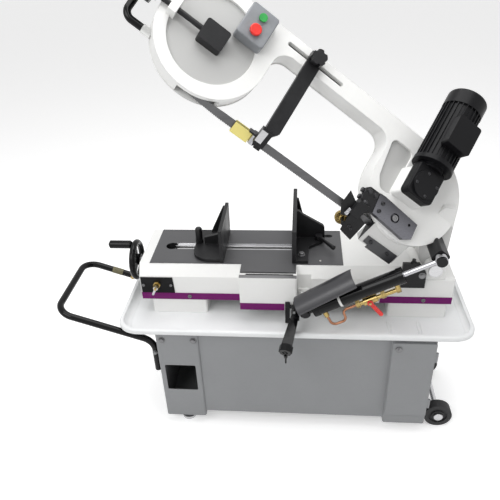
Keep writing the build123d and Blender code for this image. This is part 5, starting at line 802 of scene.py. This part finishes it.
# turned fittings, as rows of radius and height: the cylinder's band, the roller before the fixed guide,
# the cap of the cylinder's pin and the grip of the movable jaw's clamp
tube = {"foot": (46.0, -132.0, -105.0), "pitch": radians(27.24), "band": 121.0}
tubeWay = np.array([cos(tube["pitch"]), 0.0, sin(tube["pitch"])])
lathed = {
    "tubeBand": {
        "body": "cylinder", "slot": "casting_white", "finish": "castingWhite", "sides": 64, "axis": tubeWay,
        "at": onStand(*tube["foot"]) + tubeWay * tube["band"] / perMetre,
        "rows": [(25.02, 0.0), (25.6, 0.3), (25.7, 1.0), (25.7, 7.5), (25.6, 8.2), (25.02, 8.5),
                 (25.02, 0.0)],
    },
    "guideRoller": {
        "body": "bow", "slot": "chrome", "finish": "chromeBright", "sides": 40, "axis": upright,
        "at": onBlade(63.5, 0.0, -42.0),
        "rows": [(0.0, -5.0), (6.2, -5.0), (7.0, -4.2), (7.0, 5.0), (6.4, 5.6), (6.4, 6.4), (7.0, 7.0),
                 (7.0, 18.2), (6.2, 19.0), (0.0, 19.0)],
    },
    "pinCap": {
        "body": "stand", "slot": "black_paint", "finish": "castBlack", "sides": 48, "axis": front,
        "at": onStand(46.0, -148.0, -105.0),
        "rows": [(12.3, -5.4), (12.5, -5.0), (12.5, 0.4), (11.6, 1.2), (0.0, 1.2)],
    },
    "clampSleeve": {
        "body": "jaw_clamp", "slot": "black_plastic", "finish": "plasticBlack", "sides": 32, "axis": upWay,
        "at": onStand(-336.0, 118.0, 0.0),
        "rows": [(10.3, 24.6), (12.2, 24.6), (12.5, 25.0), (12.5, 63.5), (11.8, 67.2), (9.6, 70.0),
                 (6.0, 70.7), (0.0, 70.8)],
    },
}
for name, fitting in lathed.items():
    addFrom(name, turned(fitting["rows"], fitting["at"], fitting["axis"], fitting["sides"]), fitting)

# bearing sleeves on both sides of the blade, at the fixed and the sliding guide
sleeve = {
    "slot": "chrome", "finish": "chromeBright", "r": 10.15, "y": 10.75, "near": 0.95, "sides": 48,
    "low": -13.4, "top": 14.9, "lowShare": 0.93, "topShare": 0.97, "lowEase": 0.6, "topEase": 0.3,
    "places": {"fixedSleeves": (69.0, "bow"), "slidingSleeves": (-289.0, "guide_arm")},
}


def makeSleeve(x, sign):
    # round sleeve flattened on the blade's side: y never comes nearer than the near value
    turn = np.arange(sleeve["sides"]) * 2 * pi / sleeve["sides"]
    low, top = sleeve["low"], sleeve["top"]
    rows = [(0.0, low), (sleeve["lowShare"], low), (1.0, low + sleeve["lowEase"]),
            (1.0, top - sleeve["topEase"]), (sleeve["topShare"], top), (0.0, top)]
    share, n = np.array(rows).T
    px = x + sleeve["r"] * share[:, None] * np.cos(turn)
    py = sign * np.maximum(sleeve["y"] + sleeve["r"] * share[:, None] * np.sin(turn), sleeve["near"])
    offset = px[..., None] * along + n[:, None, None] * upright + py[..., None] * back
    return bladePoint + offset / perMetre, gridFaces(len(rows), sleeve["sides"], closeCols=True)


for name, (x, body) in sleeve["places"].items():
    pair = joinGrids([makeSleeve(x, 1.0), makeSleeve(x, -1.0)])
    addPiece(name, *pair, body, sleeve["slot"], sleeve["finish"])

# flat plates of the fixed guide: an outline pushed straight out by its thickness
shield = {"body": "bow", "slot": "jaw_black", "finish": "castBlack", "face": -36.05, "thick": 1.7,
          "outline": [(86.0, -56.0), (76.5, -6.0), (78.0, 7.8), (101.5, 7.8), (101.5, -30.0), (92.0, -57.0)]}
outline = [onBlade(x, n, shield["face"]) for x, n in shield["outline"]]
addFrom("brushShield", prism(outline, front * shield["thick"] / perMetre), shield)
# a thin black sheet laid on the left end face of the white block
cheek = {"body": "bow", "slot": "jaw_black", "finish": "castBlack", "at": 162.0, "thick": 1.2,
         "outline": [(25.5, -20.5), (25.5, 18.5), (-14.0, 18.5), (-56.0, -19.0)]}
outline = [onBlade(cheek["at"], n, y) for n, y in cheek["outline"]]
addFrom("blockCheek", prism(outline, -along * cheek["thick"] / perMetre), cheek)

# grip of the fixed jaw's front clamp: a round sleeve that swells evenly toward its end, which is an ellipse
grip = {
    "body": "swivel_clamp_front", "slot": "black_plastic", "finish": "plasticBlack",
    "hub": (93.0, 142.0, 24.5), "turn": radians(-58.0), "rise": radians(1.0), "from": 34.0, "to": 98.4,
    "neck": 5.4, "root": 6.4, "tip": 9.0, "roundFrom": 0.9, "least": 0.05, "rows": 18, "sides": 28,
}


def makeGrip():
    flat = cos(grip["rise"])
    way = np.array([flat * cos(grip["turn"]), flat * sin(grip["turn"]), sin(grip["rise"])])
    t = np.linspace(0.0, 1.0, grip["rows"])
    past = np.maximum(0.0, (t - grip["roundFrom"]) / (1.0 - grip["roundFrom"]))
    r = grip["root"] + (grip["tip"] - grip["root"]) * t
    r = r * np.sqrt(np.clip(1.0 - past ** 2, grip["least"], 1.0))
    s = grip["from"] + (grip["to"] - grip["from"]) * t
    rows = np.concatenate([[(grip["neck"], s[0])], np.stack([r, s], -1), [(0.0, s[-1])]])
    return turned(rows, onStand(*grip["hub"]), way, grip["sides"])


addFrom("leverSleeve", makeGrip(), grip)

# chip guard: an arc carried along a slope with a bead on its front edge; the rear edge draws in near the top
chipGuard = {
    "body": "stand", "slot": "guard_grey", "finish": "guardBlack",
    "start": (7.5, -132.0, -55.0), "stop": (184.3, -132.0, 59.6), "r": 50.0, "sheet": 2.0, "bead": 2.8,
    "beadFrom": 165.0, "beadTo": -135.0, "rear": 55.0, "front": 158.0, "drawn": 14.0, "from": 0.88,
    "rows": 41, "arc": 33, "beadStep": 13,
}


def makeGuard():
    start, stop = onStand(*chipGuard["start"]), onStand(*chipGuard["stop"])
    run = (stop - start) / np.linalg.norm(stop - start)
    rise = np.cross(run, back)
    r, thick, bead = chipGuard["r"], chipGuard["sheet"], chipGuard["bead"]
    rim = radians(chipGuard["front"])
    rimOut = np.array([cos(rim), sin(rim)])
    rimOn = np.array([-sin(rim), cos(rim)])
    roll = np.radians(np.linspace(chipGuard["beadFrom"], chipGuard["beadTo"], chipGuard["beadStep"]))
    beadPoints = r * rimOut + bead * (np.cos(roll)[:, None] * rimOn + np.sin(roll)[:, None] * rimOut)
    beadMiddle = np.broadcast_to(r * rimOut, beadPoints.shape)
    rows = []
    for s in np.linspace(0.0, 1.0, chipGuard["rows"]):
        k = np.clip((s - chipGuard["from"]) / (1.0 - chipGuard["from"]), 0.0, 1.0)
        rear = radians(chipGuard["rear"] + chipGuard["drawn"] * k * k * (3.0 - 2.0 * k))
        turn = np.linspace(rear, rim - bead / r, chipGuard["arc"])
        arc = np.stack([np.cos(turn), np.sin(turn)], -1)
        middle = (r - thick / 2) * arc
        outlines = [np.concatenate([r * arc, beadPoints, (r - thick) * arc[::-1]])]
        if s in (0.0, 1.0):
            closing = np.concatenate([middle, beadMiddle, middle[::-1]])
            outlines.insert(0 if s == 0.0 else 1, closing)
        for flat in outlines:
            offset = flat[:, :1] * back + (flat[:, 1:] - r) * rise
            rows.append(start + s * (stop - start) + offset / perMetre)
    return np.stack(rows), gridFaces(len(rows), len(rows[0]), closeCols=True)


piece = addFrom("guardSheet", makeGuard(), chipGuard)
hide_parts("cylinder_guard")
print("fittings made")


# floor, light and camera
stageLook = {
    "floor": (0.90, 0.90, 0.90), "floorHalf": 14.0, "floorRough": 0.9, "floorGlow": 0.42,
    "white": (1.0, 1.0, 1.0, 1.0), "world": 0.42, "worldSeen": 1.0,
}
lamps = {
    "keySoftbox": {"place": (-1.6, -2.2, 3.0), "target": (0.1, 0.0, 0.7), "size": (2.2, 1.6), "power": 46.0},
    "topSoftbox": {"place": (0.2, 0.1, 3.2), "target": (0.1, -0.05, 0.6), "size": (2.6, 2.2), "power": 56.0},
    "fillSoftbox": {"place": (2.6, -1.8, 1.6), "target": (0.2, 0.0, 0.7), "size": (1.6, 1.6), "power": 6.0},
}


def seenRays(treeNodes, links):
    # 1 for rays from the camera, off a mirror or through glass
    path = treeNodes.new("ShaderNodeLightPath")
    rays = path.outputs["Is Camera Ray"]
    for other in ("Is Glossy Ray", "Is Transmission Ray"):
        either = treeNodes.new("ShaderNodeMath")
        either.operation = "MAXIMUM"
        links.new(rays, either.inputs[0])
        links.new(path.outputs[other], either.inputs[1])
        rays = either.outputs[0]
    return rays


def makeStage():
    # pale floor that glows a little where it is seen, so that it meets the white background
    mesh = bpy.data.meshes.new("studioFloor")
    corners = np.array([(-1, -1, 0), (1, -1, 0), (1, 1, 0), (-1, 1, 0)], float) * stageLook["floorHalf"]
    mesh.from_pydata(corners.tolist(), [], [(0, 1, 2, 3)])
    floor = bpy.data.objects.new("studioFloor", mesh)
    bpy.context.scene.collection.objects.link(floor)
    tree = Tree("floorPale")
    tree.set(Base_Color=(*stageLook["floor"], 1.0), Roughness=stageLook["floorRough"])
    seen = tree.times(seenRays(tree.nodes, tree.links), stageLook["floorGlow"])
    glow = tree.add("ShaderNodeEmission", Color=stageLook["white"], Strength=seen)
    both = tree.nodes.new("ShaderNodeAddShader")
    tree.links.new(tree.shader.outputs[0], both.inputs[0])
    tree.links.new(glow.outputs[0], both.inputs[1])
    tree.links.new(both.outputs[0], tree.out.inputs[0])
    mesh.materials.append(tree.material)


def makeWorld():
    world = bpy.data.worlds.new("studioWorld")
    bpy.context.scene.world = world
    world.use_nodes = True
    treeNodes, links = world.node_tree.nodes, world.node_tree.links
    treeNodes.clear()
    out = treeNodes.new("ShaderNodeOutputWorld")
    sky = treeNodes.new("ShaderNodeBackground")
    sky.inputs[0].default_value = stageLook["white"]
    level = treeNodes.new("ShaderNodeMapRange")
    links.new(seenRays(treeNodes, links), level.inputs["Value"])
    level.inputs["To Min"].default_value = stageLook["world"]
    level.inputs["To Max"].default_value = stageLook["worldSeen"]
    links.new(level.outputs[0], sky.inputs[1])
    links.new(sky.outputs[0], out.inputs[0])


def addLamp(name, place, target, size, power):
    lamp = bpy.data.lights.new(name, "AREA")
    lamp.shape = "RECTANGLE"
    lamp.size, lamp.size_y = size
    lamp.energy = power
    holder = bpy.data.objects.new(name, lamp)
    holder.location = place
    holder.rotation_euler = (Vector(target) - Vector(place)).to_track_quat("-Z", "Y").to_euler()
    bpy.context.scene.collection.objects.link(holder)


makeStage()
makeWorld()
for name, lamp in lamps.items():
    addLamp(name, **lamp)

view = {"place": datum + np.array([0.02827, -1.59936, 1.050]), "pitch": radians(31.81),
        "yaw": radians(6.064), "roll": radians(2.591), "focal": 560.0 / 500.0, "sensor": 36.0}


def makeCamera():
    # looks ahead by yaw and pitch and rolls about that line; focal is the lens over the sensor's width
    cp, sp, cy, sy = cos(view["pitch"]), sin(view["pitch"]), cos(view["yaw"]), sin(view["yaw"])
    ahead = np.array([-sy * cp, cy * cp, -sp])
    side = np.array([cy, sy, 0.0])
    down = np.cross(ahead, side)
    right = cos(view["roll"]) * side + sin(view["roll"]) * down
    drop = -sin(view["roll"]) * side + cos(view["roll"]) * down
    camera = bpy.data.objects.new("photoCamera", bpy.data.cameras.new("photoCamera"))
    camera.data.lens = view["focal"] * view["sensor"]
    camera.data.sensor_width = view["sensor"]
    camera.data.sensor_fit = "HORIZONTAL"
    turn = Matrix((right, -drop, -ahead)).transposed().to_4x4()
    camera.matrix_world = Matrix.Translation(Vector(view["place"])) @ turn
    bpy.context.scene.collection.objects.link(camera)
    bpy.context.scene.camera = camera


makeCamera()
bpy.context.scene.view_settings.view_transform = "Standard"
print("stage made")
